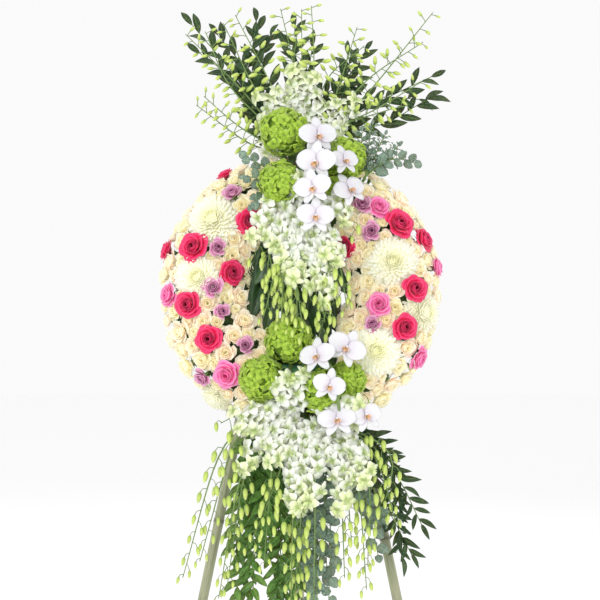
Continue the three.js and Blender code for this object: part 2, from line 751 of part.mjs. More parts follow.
function frontPole(side, joints, bolt) {
  const top = vector(side * POLE_TOP_X, POLE_Y, POLE_TOP);
  const down = vector(side * POLE_SLOPE, 0, -1).normalize();
  const length = (RING_HEIGHT + POLE_TOP) * Math.hypot(1, POLE_SLOPE) + 60;
  return put(bamboo(length, joints), facing(top, down)).subtract(joined([underFloor(), bolt]));
}

function rearPole() {
  const down = vector(0, Math.sin(REAR_ANGLE), -Math.cos(REAR_ANGLE));
  const pole = put(bamboo(REAR_LENGTH, [210, 500, 800, 1110, 1400]), facing(vector(...REAR_TOP), down));
  return pole.subtract(underFloor());
}

// A bolt along y through the ledge and a pole, or the hole for it.
function ledgeBolt(side, grow = 0) {
  const at = vector(side * poleX(LEDGE_Z), 0, LEDGE_Z);
  const shaft = 2.6 + grow;
  const [head, nut] = grow ? [shaft, shaft] : [6, 5.5];
  const front = LEDGE_Y - LEDGE_RADIUS - 0.5;
  const rear = POLE_Y + POLE_RADIUS + 0.5;
  const profile = [
    [0, -rear - 5],
    [nut, -rear - 5],
    [nut, -rear],
    [shaft, -rear],
    [shaft, -front],
    [head, -front],
    [head, -front + 5],
    [0, -front + 5],
  ];
  const lean = facing(at, FRONT);
  return put(turned(profile, 6), lean);
}

// Turns of twine round the three poles' tops
function lashing() {
  const edge = [
    [-33.6, 6],
    [-25, 0.3],
    [25, 0.3],
    [33.6, 6],
    [33.6, 20],
    [15, 62],
    [-15, 62],
    [-33.6, 20],
  ];
  const middle = vector(0, 26, 0);
  const outer = edge.map(([x, y]) => {
    const out = vector(x, y, 0).sub(middle);
    return vector(x, y, 0).addScaledVector(out.normalize(), 5);
  });
  const shape = new THREE.Shape(outer.map((p) => new THREE.Vector2(p.x, p.y)));
  shape.holes.push(new THREE.Path(edge.map(([x, y]) => new THREE.Vector2(x, y))));
  const band = new THREE.ExtrudeGeometry(shape, { depth: 20, bevelEnabled: false });
  band.translate(0, 0, POLE_TOP - 40);
  return solidOf(band);
}

// Put together, each piece cut back from what it meets

const boltHoles = { left: ledgeBolt(-1, 0.5), right: ledgeBolt(1, 0.5) };
place("easel_left_leg", frontPole(-1, [372, 652, 934, 1216], boltHoles.left), COLOURS.bamboo, 0.5);
place("easel_right_leg", frontPole(1, [418, 704, 976, 1262], boltHoles.right), COLOURS.bamboo, 0.5);
place("easel_rear_leg", rearPole(), COLOURS.bamboo, 0.5);
place("easel_apex_lashing", lashing(), COLOURS.twine, 0.95);

const ledgeBar = (grow) => {
  const reach = LEDGE_HALF_LENGTH + grow;
  const radius = LEDGE_RADIUS + grow;
  const profile = [[0, -reach], [radius, -reach], [radius, reach], [0, reach]];
  return put(turned(profile, 8), facing(vector(0, LEDGE_Y, LEDGE_Z), vector(1, 0, 0)));
};
place("easel_ledge", ledgeBar(0).subtract(joined(Object.values(boltHoles))), COLOURS.bamboo, 0.5);
place("ledge_bolt_left", ledgeBolt(-1), COLOURS.steel, 0.4);
place("ledge_bolt_right", ledgeBolt(1), COLOURS.steel, 0.4);

const trayEdge = FOAM_HALF_WIDTH;
const trayOutline = mirrored([[trayEdge, 0], [trayEdge, TRAY_THICKNESS]]);
place("ring_tray", solidOf(arc(trayOutline, 0, RING_STEPS, true)), COLOURS.tray, 0.5);
const foamRing = solidOf(arc(mirrored(foamOutline(0, FOAM_BACK)), 0, RING_STEPS, true));
place("foam_ring", foamRing, COLOURS.foam, 0.95);

const holesFor = (names) => joined(names.map((name) => plug(...PLUGS[name], GAP)));
const isAbove = (name) => PLUGS[name][0][2] > 0;
const above = Object.keys(PLUGS).filter(isAbove);
const below = Object.keys(PLUGS).filter((name) => !isAbove(name));
place("top_foam_block", foamBlock(1).subtract(holesFor(above)), COLOURS.foam, 0.95);
place("bottom_foam_block", foamBlock(-1).subtract(holesFor(below)), COLOURS.foam, 0.95);

// Single blooms: roses stand as they are, chrysanthemums give way to them
for (const rose of reds) place(rose.name, bloom(rose), COLOURS.red, 0.6);
for (const rose of pinks) place(rose.name, bloom(rose), COLOURS.pink, 0.6);
const near = (a, b) => Math.hypot(a.u - b.u, a.v - b.v) < 1.3 * (a.radius + b.radius) + 12;
const roses = [...reds, ...pinks];
for (const mum of mums) {
  const tools = roses.filter((rose) => near(mum, rose)).map(pocket);
  place(mum.name, cut(bloom(mum), tools), COLOURS.mum, 0.8);
}

// Small roses and the greenery under them, in six parts of the ring, with a leafy part at the top
// and the bottom
const lavenders = LAVENDER_ROSES.map(([u, v, radius], index) => ({
  kind: "small",
  u,
  v,
  radius,
  lift: 4,
  spin: index,
}));
const heads = Object.values(HYDRANGEAS)
  .flat()
  .map(({ at: [u, , v], radius }) => ({ kind: "small", u, v, radius: radius * 0.9 }));
const seededSpot = { u: SEEDED_ROOT[0], v: SEEDED_ROOT[1], radius: 12 };
const taken = [...roses, ...mums, ...lavenders, ...heads, seededSpot];
const smallRoses = [...lavenders, ...fillWings(taken)];

const SEAM = 0.02; // of a step, left open between neighbours
const seededSeat = onRing(...SEEDED_ROOT);
const seededStalk = (grow) => {
  const root = rootLength(seededSeat);
  const profile = [[0, -root - grow], [4 + grow, -root - grow], [4 + grow, 10], [0, 10]];
  return put(turned(profile, 5), facing(seededSeat.centre, seededSeat.normal));
};

function baseLeaves(from, to) {
  const pieces = [];
  for (let i = 0; i < 6; i += 1) {
    const angle = ((from + ((to - from) * (i + 0.8)) / 6.6) * 2 * Math.PI) / RING_STEPS;
    const outwards = i % 2 ? 1 : -1;
    const reach = RING_MIDDLE + outwards * 72;
    const root = vector(reach * Math.cos(angle), -36, reach * Math.sin(angle));
    const direction = vector(Math.cos(angle), 0, Math.sin(angle)).multiplyScalar(outwards);
    direction.addScaledVector(FRONT, 0.3);
    pieces.push(put(blade(56, 30, 2.2, 5, LEAF_WIDTHS), lying(root, direction, FRONT)));
  }
  return pieces;
}

for (const { name, from, to } of SECTORS) {
  const cover = solidOf(arc(coverOutline(0), from + SEAM, to - SEAM));
  const mine = smallRoses.filter((rose) => partOf(rose) === name);
  const others = smallRoses.filter((rose) => !mine.includes(rose));
  const isLeafy = !mine.length;
  const pieces = [cover, ...(isLeafy ? baseLeaves(from, to) : mine.map(bloom))];
  const area = { u: 0, v: 0 };
  const angle = ((from + to) * Math.PI) / RING_STEPS;
  area.u = RING_MIDDLE * Math.cos(angle);
  area.v = RING_MIDDLE * Math.sin(angle);
  const inReach = (b) => Math.hypot(b.u - area.u, b.v - area.v) < 240;
  const tools = [...roses, ...mums, ...others].filter(inReach).map(pocket);
  tools.push(ledgeBar(GAP + 0.4), foamBlock(1, GAP), foamBlock(-1, GAP));
  if (name === partOf(seededSpot)) tools.push(seededStalk(GAP));
  place(name, cut(joined(pieces), tools), isLeafy ? COLOURS.leaf : COLOURS.cream, 0.7);
}

// Hydrangeas, pressed against the foam and its cover
const coverTool = solidOf(arc(mirrored(foamOutline(COVER_THICKNESS + GAP, 0)), 0, RING_STEPS, true));
for (const [name, parts] of Object.entries(HYDRANGEAS)) {
  const up = parts[0].at[2] > 0 ? 1 : -1;
  const solid = joined(parts.map(hydrangeaHead));
  place(name, cut(solid, [coverTool, foamBlock(up, GAP)]), COLOURS.hydrangea, 0.8);
}

function bunch(name, pieces, colour, roughness) {
  place(name, largest(joined([plug(...PLUGS[name]), ...pieces])), colour, roughness);
}

const topSprays = TOP_SPRAYS.flatMap((spray) => orchidSpray({ ...spray, from: 0.42 }));
bunch("top_dendrobium", topSprays, COLOURS.dendrobium, 0.6);
bunch("middle_dendrobium", MIDDLE_SPRAYS.flatMap(orchidSpray), COLOURS.dendrobium, 0.6);
bunch("bottom_dendrobium", BOTTOM_SPRAYS.flatMap(orchidSpray), COLOURS.dendrobium, 0.6);

const topLeaves = TOP_STEMS.flatMap((route) =>
  leafyStem({ route, leaves: 6, length: 110, width: 34, from: 0.36 }),
);
bunch("top_leaves", topLeaves, COLOURS.leaf, 0.45);
const ruscus = RUSCUS_STEMS.flatMap((route) =>
  leafyStem({ route, leaves: 7, length: 76, width: 28 }),
);
bunch("bottom_ruscus", ruscus, COLOURS.ruscus, 0.45);
const eucalyptus = EUCALYPTUS_STEMS.flatMap((route) =>
  leafyStem({ route, leaves: 8, length: 56, width: 46, spread: 1.3 }),
);
bunch("bottom_eucalyptus", eucalyptus, COLOURS.eucalyptus, 0.7);
const olive = OLIVE_STEMS.flatMap((route) => leafyStem({ route, leaves: 7, length: 88, width: 26 }));
bunch("bottom_olive", olive, COLOURS.leaf, 0.5);

const centreStem = smooth([[-26, -94, 188], [-22, -110, 150], [-8, -114, 90]]);
const centreLeaves = [stem(centreStem, 4, 4, 4)];
for (const { direction, length, width, along } of CENTRE_LEAVES) {
  const root = centreStem.getPoint(along);
  const geometry = blade(length, width, 3, 0, PETAL_WIDTHS.map(([w, at]) => [w, at * 0.8]));
  centreLeaves.push(put(geometry, lying(root, vector(...direction), FRONT)));
}
bunch("centre_leaves", centreLeaves, COLOURS.leaf, 0.4);

const seededEnd = seededSeat.centre.clone().addScaledVector(seededSeat.normal, 26);
const seeded = leafyStem({
  route: [seededSeat.centre.toArray(), seededEnd.toArray(), [222, -130, 300], [276, -110, 296]],
  leaves: 8,
  length: 38,
  width: 32,
  from: 0.58,
  spread: 1.2,
});
place("seeded_eucalyptus", largest(joined([seededStalk(0), ...seeded])), COLOURS.eucalyptus, 0.7);

function orchidStem(name, route, blooms) {
  const line = steppedStem(route, 3.2, 6, 4);
  const pieces = [line.solid];
  for (const flower of blooms) {
    pieces.push(...mothOrchid(flower));
    const back = vector(...flower.at).addScaledVector(vector(...flower.normal).normalize(), -1.2);
    let nearest = line.at(0).point;
    for (let share = 0.02; share < 1; share += 0.02) {
      const { point } = line.at(share);
      if (point.distanceTo(back) < nearest.distanceTo(back)) nearest = point;
    }
    pieces.push(stem(new THREE.LineCurve3(nearest, back), 1.8, 1));
  }
  bunch(name, pieces, COLOURS.orchid, 0.5);
}
orchidStem(
  "upper_moth_orchids",
  [[34, -114, 258], [60, -160, 236], [64, -186, 262], [58, -176, 330]],
  UPPER_ORCHIDS,
);
orchidStem(
  "lower_moth_orchids",
  [[38, -114, -212], [52, -176, -188], [84, -214, -240], [92, -200, -318], [140, -176, -318]],
  LOWER_ORCHIDS,
);

group.applyMatrix4(leaning);
const standing = new THREE.Group();
standing.add(group);
const bounds = new THREE.Box3().setFromObject(standing, true);
const middle = bounds.getCenter(vector(0, 0, 0));
standing.position.set(-middle.x, -middle.y, -bounds.min.z);

export default standing;
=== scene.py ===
"""A standing funeral wreath of roses, chrysanthemums, hydrangeas and orchids, on a bamboo tripod.

Every piece is laid out in the ring's own frame, in millimetres: x to the right, y to the back and
z up the leaning ring, from the ring's centre on its back face. RING takes that frame to the
object's own, in metres.
"""

import random
from math import atan2, cos, hypot, pi, radians, sin, sqrt

import bmesh
import bpy
import numpy as np
from mathutils import Matrix, Quaternion, Vector, noise


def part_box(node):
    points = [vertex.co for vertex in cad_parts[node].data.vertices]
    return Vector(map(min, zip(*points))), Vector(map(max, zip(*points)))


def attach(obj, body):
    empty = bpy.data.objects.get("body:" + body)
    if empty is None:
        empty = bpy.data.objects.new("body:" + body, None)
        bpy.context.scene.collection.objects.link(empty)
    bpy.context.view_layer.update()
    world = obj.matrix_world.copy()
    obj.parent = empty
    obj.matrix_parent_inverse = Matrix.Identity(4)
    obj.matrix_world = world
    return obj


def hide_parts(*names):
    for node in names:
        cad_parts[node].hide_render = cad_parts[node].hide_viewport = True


bl_info = {
    "name": "Standing Funeral Wreath",
    "version": (1, 0, 0),
    "blender": (4, 5, 0),
    "location": "View3D > Sidebar > Wreath",
    "description": "Builds a flower wreath on a bamboo tripod, bloom by bloom",
    "category": "Object",
}

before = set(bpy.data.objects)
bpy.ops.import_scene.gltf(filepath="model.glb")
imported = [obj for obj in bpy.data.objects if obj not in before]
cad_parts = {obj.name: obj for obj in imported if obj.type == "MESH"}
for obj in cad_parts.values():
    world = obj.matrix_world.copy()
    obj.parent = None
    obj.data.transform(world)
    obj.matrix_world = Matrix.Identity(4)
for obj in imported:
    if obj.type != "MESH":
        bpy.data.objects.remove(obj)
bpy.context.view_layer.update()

FRONT = Vector((0, -1, 0))
UP = Vector((0, 0, 1))
GOLDEN_ANGLE = pi * (3 - sqrt(5))

# Sizes shared with the solids
LEAN = radians(10)
RING_HEIGHT = 1150
RING_MIDDLE = 220
FOAM_HALF_WIDTH = 70
FOAM_OUTER = RING_MIDDLE + FOAM_HALF_WIDTH
FOAM_BACK = 4.6
FOAM_FRONT = 64.6
FOAM_CHAMFER = 30
TRAY_THICKNESS = 4
COVER_THICKNESS = 13
COVER_BACK = 9
RING_STEPS = 24
CREST_ACROSS = 105
CREST_DEPTH = 85
CREST_BACK = 20
CREST_LIMIT = 0.99
BLOCK_HALF_WIDTH = 48
BLOCK_NEAR = 195
BLOCK_FAR = 282
BLOCK_BACK = 79
BLOCK_FRONT = 112
POLE_RADIUS = 12
NODE_SWELL = 1.5
POLE_TOP = 360
POLE_TOP_X = 13
POLE_SLOPE = 0.198
POLE_Y = 12.8
REAR_ANGLE = radians(26)
REAR_TOP = Vector((0, 36.5, 345))
REAR_LENGTH = 1620
LEDGE_RADIUS = 10.5
LEDGE_HALF_LENGTH = 178
LEDGE_Y = -10.2
LEDGE_Z = -FOAM_OUTER - 0.4 - LEDGE_RADIUS

# Bamboo: how far down each pole its joints are, and the profile of a joint: offset, swell, darkness
LEG_JOINTS = {"left": (372, 652, 934, 1216), "right": (418, 704, 976, 1262)}
REAR_JOINTS = (210, 500, 800, 1110, 1400)
JOINT_PROFILE = [
    (-90, -0.3, 0),
    (-16, -0.2, 0),
    (-6, 0.1, 0.2),
    (-2.2, NODE_SWELL, 0.7),
    (-0.6, NODE_SWELL * 0.5, 1),
    (0.8, NODE_SWELL * 0.2, 1),
    (2.2, NODE_SWELL, 0.8),
    (7, 0.1, 0.2),
    (18, -0.2, 0),
]
LEDGE_JOINTS = [(-90, -60), (40, 72)]
LEDGE_JOINT_PROFILE = [(-6, 0), (-2, 0.7), (0.5, 0.2), (2, 0.7), (8, 0)]
END_CHAMFER = 1.2
# The front poles are made this much too long and then cut level at the floor
PAST_FLOOR = 60
TWINE_RADIUS = 2.0
LASHING_TURNS = 5
LASHING_BOTTOM = POLE_TOP - 38
# Half the lashing's path round the heads of the poles: across and back
LASHING_HALF = [(0, -1.6), (24, -1.6), (34, 4), (35.5, 20), (17, 63.5), (0, 64.5)]
# A loose end of it: aside, back and below the poles' top
LASHING_END = [(2, -3, 30), (6, -7, 40), (9, -8, 62)]

tray_low, tray_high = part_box("ring_tray")
TRAY_BOTTOM = RING_HEIGHT - FOAM_OUTER
RING = (
    Matrix.Translation(
        (
            (tray_low.x + tray_high.x) / 2,
            tray_low.y - (TRAY_BOTTOM * sin(LEAN) - TRAY_THICKNESS * cos(LEAN)) / 1000,
            tray_low.z - TRAY_BOTTOM * cos(LEAN) / 1000,
        )
    )
    @ Matrix.Rotation(-LEAN, 4, "X")
    @ Matrix.Scale(0.001, 4)
    @ Matrix.Translation((0, 0, RING_HEIGHT))
)

# Places of the single blooms, seen from the front: node, across, up, radius, lift
RED_ROSES = [
    ("red_rose_top_left", -178, 276, 25, 0),
    ("red_rose_upper_left", -122, 154, 33, 6),
    ("red_rose_outer_left", -312, 92, 29, 0),
    ("red_rose_left", -250, 86, 36, 10),
    ("red_rose_inner_left", -166, 29, 30, 6),
    ("red_rose_middle_left", -262, -50, 32, 8),
    ("red_rose_lower_left", -214, -132, 32, 6),
    ("red_rose_upper_right", 233, 144, 36, 10),
    ("red_rose_outer_right", 291, 112, 31, 0),
    ("red_rose_inner_right", 110, 96, 27, 0),
    ("red_rose_middle_right", 266, -12, 31, 16),
    ("red_rose_lower_right", 242, -103, 31, 16),
]
PINK_ROSES = [
    ("pink_rose_outer_left", -308, -22, 28, 0),
    ("pink_rose_lower_left", -170, -214, 33, 8),
    ("pink_rose_upper_right", 186, 186, 27, 6),
    ("pink_rose_outer_right", 319, 50, 27, 0),
    ("pink_rose_middle_right", 190, -52, 29, 6),
    ("pink_rose_lower_right", 272, -165, 28, 4),
]
CHRYSANTHEMUMS = [
    ("chrysanthemum_upper_left", -212, 160, 68, 0),
    ("chrysanthemum_left", -246, 18, 62, -4),
    ("chrysanthemum_lower_left", -200, -262, 44, 0),
    ("chrysanthemum_right", 222, 54, 66, 0),
    ("chrysanthemum_outer_right", 296, -64, 56, -4),
    ("chrysanthemum_lower_right", 180, -162, 66, 0),
]
# Lavender roses: across, up, radius
LAVENDER_ROSES = [
    (-160, 218, 22),
    (-196, 86, 20),
    (-208, -12, 24),
    (-186, -70, 18),
    (-130, -152, 20),
    (-222, -212, 21),
    (148, 190, 22),
    (172, 126, 22),
    (174, -100, 20),
]
# Sectors of the ring: node, then the steps round the ring that it runs from and to
SECTORS = [
    ("small_roses_right_upper", 2, 5),
    ("top_base_leaves", 5, 7),
    ("small_roses_left_upper", 7, 10),
    ("small_roses_left_middle", 10, 14),
    ("small_roses_left_lower", 14, 17),
    ("bottom_base_leaves", 17, 19),
    ("small_roses_right_lower", 19, 22),
    ("small_roses_right_middle", 22, 26),
]
# Small roses that fill the sectors: radius and how many places are tried
FILL = [(28, 1500), (23, 3000), (18, 5000)]
FILL_SEED = 4711
FILL_CLOSENESS = 0.98
FILL_CLEARANCE = 1.06
FILL_INNER = 124
FILL_OUTER = 324
FILL_LEFT = -92
FILL_RIGHT = 118
FILL_TOP = 292
# Smaller ones pushed into what gaps are left: radius, how many places are tried, closeness
GAP_ROSES = [(25, 5000, 0.70), (20, 6000, 0.68), (15, 7000, 0.72)]
# How far past the limits of the fill they may go: towards the middle, past the rim, up and down
GAP_INWARD, GAP_OUTWARD, GAP_UPWARD = 20, 10, 8
# Blooms further out than RIM_START stand off the ring, the outermost small roses by RIM_LIFT
RIM_START = 285
RIM_LIFT = 9
# What the finishes of a sector are, in the order of its slots: a rose takes two
COVER_LOOKS = ["cream", "stem", "moss", "leaf", "lavender", "stem"]
COVER_LEAVES_A_STEP = 20
SEEDED_ROOT = (150, 250)
SEEDED_TIPS = [(176, -112, 392), (206, -116, 366), (238, -112, 338), (150, -120, 372)]
# Twigs of round leaves laid over the roses beside the upper hydrangea
TUCKED_TWIGS = [
    ((-52, -108, 268), (-84, -132, 280), (-108, -142, 290), (-128, -132, 304)),
    ((-58, -112, 236), (-92, -146, 242), (-110, -150, 250), (-130, -146, 252)),
    ((-60, -112, 220), (-92, -148, 214), (-104, -152, 200), (-114, -152, 182)),
]

# Hydrangea heads: centre, radius and where the stalk goes in
HYDRANGEAS = {
    "hydrangea_top": [((-38, -140, 366), 54, (-46, -104, 262))],
    "hydrangea_upper": [((-47, -157, 234), 48, (-30, -96, 240))],
    "hydrangea_right": [
        ((112, -116, 306), 45, (86, -114, 228)),
        ((86, -114, 228), 42, (80, -60, 226)),
    ],
    "hydrangea_centre": [((-26, -132, -140), 53, (-20, -100, -230))],
    "hydrangea_lower_left": [((-90, -134, -232), 50, (-60, -60, -210))],
    "hydrangea_lower_right": [
        ((54, -156, -264), 50, (30, -100, -250)),
        ((112, -124, -232), 38, (90, -60, -220)),
    ],
}

# Sprays of dendrobium: four points that each stem runs through, and what share of it is in flower
TOP_SPRAYS = [
    (((4, -101, 332), (-50, -64, 380), (-150, -70, 500), (-283, -90, 630)), 0.2),
    (((8, -101, 326), (-60, -64, 350), (-150, -70, 400), (-236, -84, 472)), 0.25),
    (((6, -101, 320), (-26, -64, 400), (-80, -84, 520), (-160, -100, 676)), 0.4),
    (((10, -101, 314), (0, -64, 400), (-14, -90, 540), (-48, -105, 690)), 0.55),
    (((8, -101, 308), (22, -64, 400), (34, -110, 540), (28, -120, 692)), 0.55),
    (((10, -101, 296), (50, -70, 380), (95, -70, 500), (142, -70, 655)), 0.45),
    (((16, -101, 290), (70, -70, 380), (180, -70, 500), (330, -80, 690)), 0.35),
    (((12, -101, 284), (80, -70, 390), (180, -84, 436), (300, -90, 508)), 0.25),
]
MIDDLE_SPRAYS = [
    (((4, -104, 192), (-30, -150, 150), (-72, -158, 60), (-74, -170, -66)), 0.6),
    (((8, -104, 186), (-14, -152, 130), (-36, -166, 50), (-44, -198, -110)), 0.6),
    (((4, -104, 180), (0, -148, 110), (-8, -168, 20), (-6, -200, -120)), 0.6),
    (((10, -104, 174), (30, -146, 100), (44, -160, 10), (58, -176, -104)), 0.75),
    (((6, -104, 168), (60, -160, 110), (92, -162, 40), (110, -168, -70)), 0.7),
]
BOTTOM_SPRAYS = [
    (((8, -104, -284), (-110, -150, -330), (-190, -150, -420), (-268, -140, -690)), 0.35),
    (((12, -104, -290), (-70, -140, -350), (-136, -150, -460), (-186, -130, -736)), 0.45),
    (((14, -104, -302), (0, -150, -370), (-14, -170, -500), (-22, -150, -796)), 0.6),
    (((10, -104, -308), (24, -160, -380), (34, -170, -500), (30, -146, -812)), 0.55),
    (((16, -104, -314), (66, -150, -380), (92, -160, -470), (102, -140, -690)), 0.65),
    (((12, -104, -320), (110, -144, -370), (136, -150, -500), (152, -136, -716)), 0.6),
    (((16, -104, -326), (130, -140, -360), (184, -146, -440), (222, -140, -572)), 0.3),
    (((10, -104, -296), (-46, -156, -356), (-64, -172, -440), (-82, -150, -660)), 0.55),
]
# Short sprays bent back over the foam blocks
BLOCK_FANS = {
    "middle_dendrobium": [
        ((6, -104, 190), (-6, -150, 200), (-10, -168, 228), (-6, -160, 262)),
        ((8, -104, 190), (60, -150, 190), (96, -160, 170), (132, -150, 120)),
        ((2, -104, 190), (-60, -150, 190), (-92, -160, 150), (-106, -150, 60)),
    ],
    "bottom_dendrobium": [
        ((4, -104, -284), (-20, -150, -290), (-40, -168, -260), (-44, -160, -210)),
        ((10, -104, -284), (10, -150, -290), (4, -172, -260), (2, -164, -205)),
        ((14, -104, -290), (60, -160, -310), (110, -176, -300), (150, -160, -270)),
        ((6, -104, -290), (-80, -150, -318), (-132, -158, -314), (-184, -138, -336)),
    ],
}
# Leafy stems: the four points that each runs through
TOP_STEMS = [
    ((-26, -89, 284), (-60, -22, 400), (-150, -20, 530), (-276, 0, 690)),
    ((-22, -89, 288), (-44, -18, 420), (-90, -12, 560), (-112, 10, 704)),
    ((-24, -89, 292), (-16, -16, 420), (-10, 0, 560), (-14, 20, 690)),
    ((-20, -89, 296), (20, -18, 400), (90, -10, 500), (166, 10, 622)),
    ((-24, -89, 300), (40, -20, 380), (180, -16, 470), (334, 0, 552)),
]
RUSCUS_STEMS = [
    ((-34, -92, -285), (-76, -60, -420), (-100, -56, -560), (-112, -60, -764)),
    ((-30, -92, -293), (-56, -56, -440), (-50, -52, -600), (-60, -50, -790)),
    ((-34, -92, -301), (-110, -60, -390), (-140, -60, -500), (-150, -60, -640)),
    ((-30, -92, -293), (-14, -60, -440), (0, -60, -600), (4, -64, -790)),
]
EUCALYPTUS_STEMS = [
    ((-10, -90, -285), (40, -84, -420), (70, -84, -560), (66, -84, -760)),
    ((-6, -90, -293), (80, -86, -400), (150, -86, -500), (182, -84, -640)),
    ((-8, -90, -289), (16, -84, -430), (30, -84, -600), (22, -84, -784)),
]
OLIVE_STEMS = [
    ((32, -90, -285), (120, -54, -360), (220, -52, -440), (288, -50, -570)),
    ((36, -90, -293), (110, -50, -400), (200, -48, -520), (264, -46, -640)),
]
CENTRE_STEM = ((-26, -94, 188), (-22, -110, 150), (-8, -114, 90))
# Broad leaves: direction, length, width and how far along the stem
CENTRE_LEAVES = [
    ((-0.5, -0.05, -1), 190, 66, 0.25),
    ((0.62, -0.05, -1), 170, 60, 0.4),
    ((0.05, -0.05, -1), 150, 60, 0.95),
    ((0.25, -0.05, -1), 190, 60, 0.6),
    ((-0.2, -0.05, -1), 170, 56, 0.7),
]
# Leaves added here over what is left open of the ring's hole
HOLE_LEAVES = [
    ((-0.44, 0.12, -1), 262, 62, 0.3),
    ((-0.36, 0.06, -1), 284, 64, 0.15),
    ((-0.52, 0.2, -1), 240, 58, 0.6),
    ((-0.27, 0.1, -1), 262, 64, 0.6),
    ((0.22, 0.1, -1), 285, 60, 0.35),
    ((0.16, 0.08, -1), 262, 62, 0.9),
    ((0.32, 0.14, -1), 274, 66, 0.97),
    ((0.46, 0.16, -1), 246, 62, 0.8),
    ((0.84, 0.24, -1), 222, 62, 0.4),
    ((0.95, 0.32, -1), 215, 62, 0.6),
    ((-0.78, 0.36, -1), 200, 62, 0.5),
]
# Moth orchids: centre, the way it faces, size, roll
UPPER_ORCHIDS = [
    ((42, -186, 344), (0.1, -1, 0.1), 1, 0.1),
    ((38, -206, 274), (-0.1, -1, -0.05), 1.05, -0.1),
    ((30, -222, 208), (-0.15, -1, 0.05), 0.95, 0.15),
    ((36, -212, 142), (0, -1, -0.05), 0.95, -0.05),
    ((104, -182, 284), (0.7, -1, 0.1), 0.85, 0.2),
    ((116, -176, 214), (0.3, -1, 0.15), 0.95, 0.5),
]
LOWER_ORCHIDS = [
    ((40, -204, -186), (-0.2, -1, 0.05), 0.95, 0.1),
    ((108, -190, -166), (0.25, -1, 0.1), 1, -0.5),
    ((66, -226, -258), (0.1, -1, 0), 0.85, -0.2),
    ((84, -206, -334), (0.1, -1, 0.1), 0.95, 0.1),
    ((150, -180, -322), (0.3, -1, 0.1), 0.9, 0.3),
]
UPPER_ORCHID_STEM = ((34, -114, 258), (60, -160, 236), (64, -186, 262), (58, -176, 330))
LOWER_ORCHID_STEM = (
    (38, -114, -212),
    (52, -176, -188),
    (84, -214, -240),
    (92, -200, -318),
    (140, -176, -318),
)
MOTH_RADIUS = 48
FLORET_RADIUS = 25
# Hydrangea heads: a floret's radius, the core's against the head's, and how near the stalk florets grow
SEPAL_RADIUS = 14.5
CORE_SHARE = 0.82
STALK_NEARNESS = 0.93
# A floret is in the foam where it is nearer the ring's back and further from its centre than this
IN_FOAM_DEPTH, IN_FOAM_REACH = 70, 130

# Studio, in metres
FLOOR_RADIUS = 14
CAMERA_DISTANCE = 3.6
CAMERA_HEIGHT = 1.112
HALF_VIEW = 0.72
VIEW_PLANE = -0.2
LIGHTS_AIM = Vector((0, 0, 1.1))
LIGHTS = [
    ("key-light", (-1.5, -4.4, 2.6), 1.4, 68),
    ("fill-light", (2.6, -3.2, 0.9), 2.4, 16),
    ("back-light", (0.6, 3.0, 3.2), 3.0, 14),
]

# Finishes and shapes by name, filled before any piece is built
MATERIALS = {}
TEMPLATES = {}


def mix(a, b, share):
    return a + (b - a) * share


def jitter(draw, amount):
    return Vector([draw.uniform(-amount, amount) for _ in range(3)])


def mirrored(half):
    """An outline's right half, then the same on the left."""
    return [*half, *[(-x, y) for x, y in reversed(half)]]


def seeded_draw(seed):
    """Numbers from 0 to 1 that come out the same on every run."""
    state = seed
    while True:
        state = (state * 16807) % 2147483647
        yield state / 2147483647


# The ring


def on_ring(u, v):
    """Where a bloom sits at a place on the ring, seen from the front, and which way it faces."""
    reach = hypot(u, v)
    across = max(-CREST_LIMIT, min(CREST_LIMIT, (reach - RING_MIDDLE) / CREST_ACROSS))
    front = sqrt(1 - across * across)
    outward = Vector((u / reach, 0, v / reach))
    normal = (outward * (across / CREST_ACROSS) + FRONT * (front / CREST_DEPTH)).normalized()
    centre = outward * (RING_MIDDLE + across * CREST_ACROSS) + FRONT * (CREST_BACK + front * CREST_DEPTH)
    return centre, normal


def stand_off(u, v):
    """How far a bloom near the ring's rim stands off it."""
    return RIM_LIFT * max(0.0, (hypot(u, v) - RIM_START) / (FILL_OUTER - RIM_START))


def part_of(u, v):
    """The node of the sector that a place on the ring is in."""
    turn = atan2(v, u) * RING_STEPS / (2 * pi)
    step = turn + RING_STEPS if turn < SECTORS[0][1] else turn
    return next(name for name, low, high in SECTORS if low <= step < high)


def fill_wings(taken):
    """Small roses in what the large blooms leave, the largest first, by the solids' own seeded draw."""
    draw = seeded_draw(FILL_SEED)
    everything = [(on_ring(u, v)[0], radius, None) for u, v, radius in taken]
    found = []
    for radius, tries in FILL:
        for _ in range(tries):
            u = (next(draw) * 2 - 1) * FILL_OUTER
            v = (next(draw) * 2 - 1) * FILL_OUTER
            in_wing = u < FILL_LEFT or u > FILL_RIGHT
            if not in_wing or not FILL_INNER <= hypot(u, v) <= FILL_OUTER or abs(v) > FILL_TOP:
                continue
            centre = on_ring(u, v)[0]
            part = part_of(u, v)
            if all(
                (other - centre).length
                > (FILL_CLOSENESS if theirs == part else FILL_CLEARANCE) * (radius + other_radius)
                for other, other_radius, theirs in everything
            ):
                everything.append((centre, radius, part))
                found.append((u, v, radius))
    return found


def facing(origin, axis, spin=0.0, size=1.0):
    """The matrix that puts z along axis, turned by spin about it."""
    along = Vector(axis).normalized()
    turn = Quaternion(along, spin) @ UP.rotation_difference(along)
    return Matrix.Translation(origin) @ turn.to_matrix().to_4x4() @ Matrix.Scale(size, 4)


def lying(origin, direction, normal, scale=(1, 1, 1)):
    """The matrix that puts z along direction with y as near to normal as it can be."""
    z = Vector(direction).normalized()
    x = Vector(normal).cross(z).normalized()
    y = z.cross(x)
    turn = Matrix((x, y, z)).transposed().to_4x4()
    return Matrix.Translation(origin) @ turn @ Matrix.Diagonal((*scale, 1))


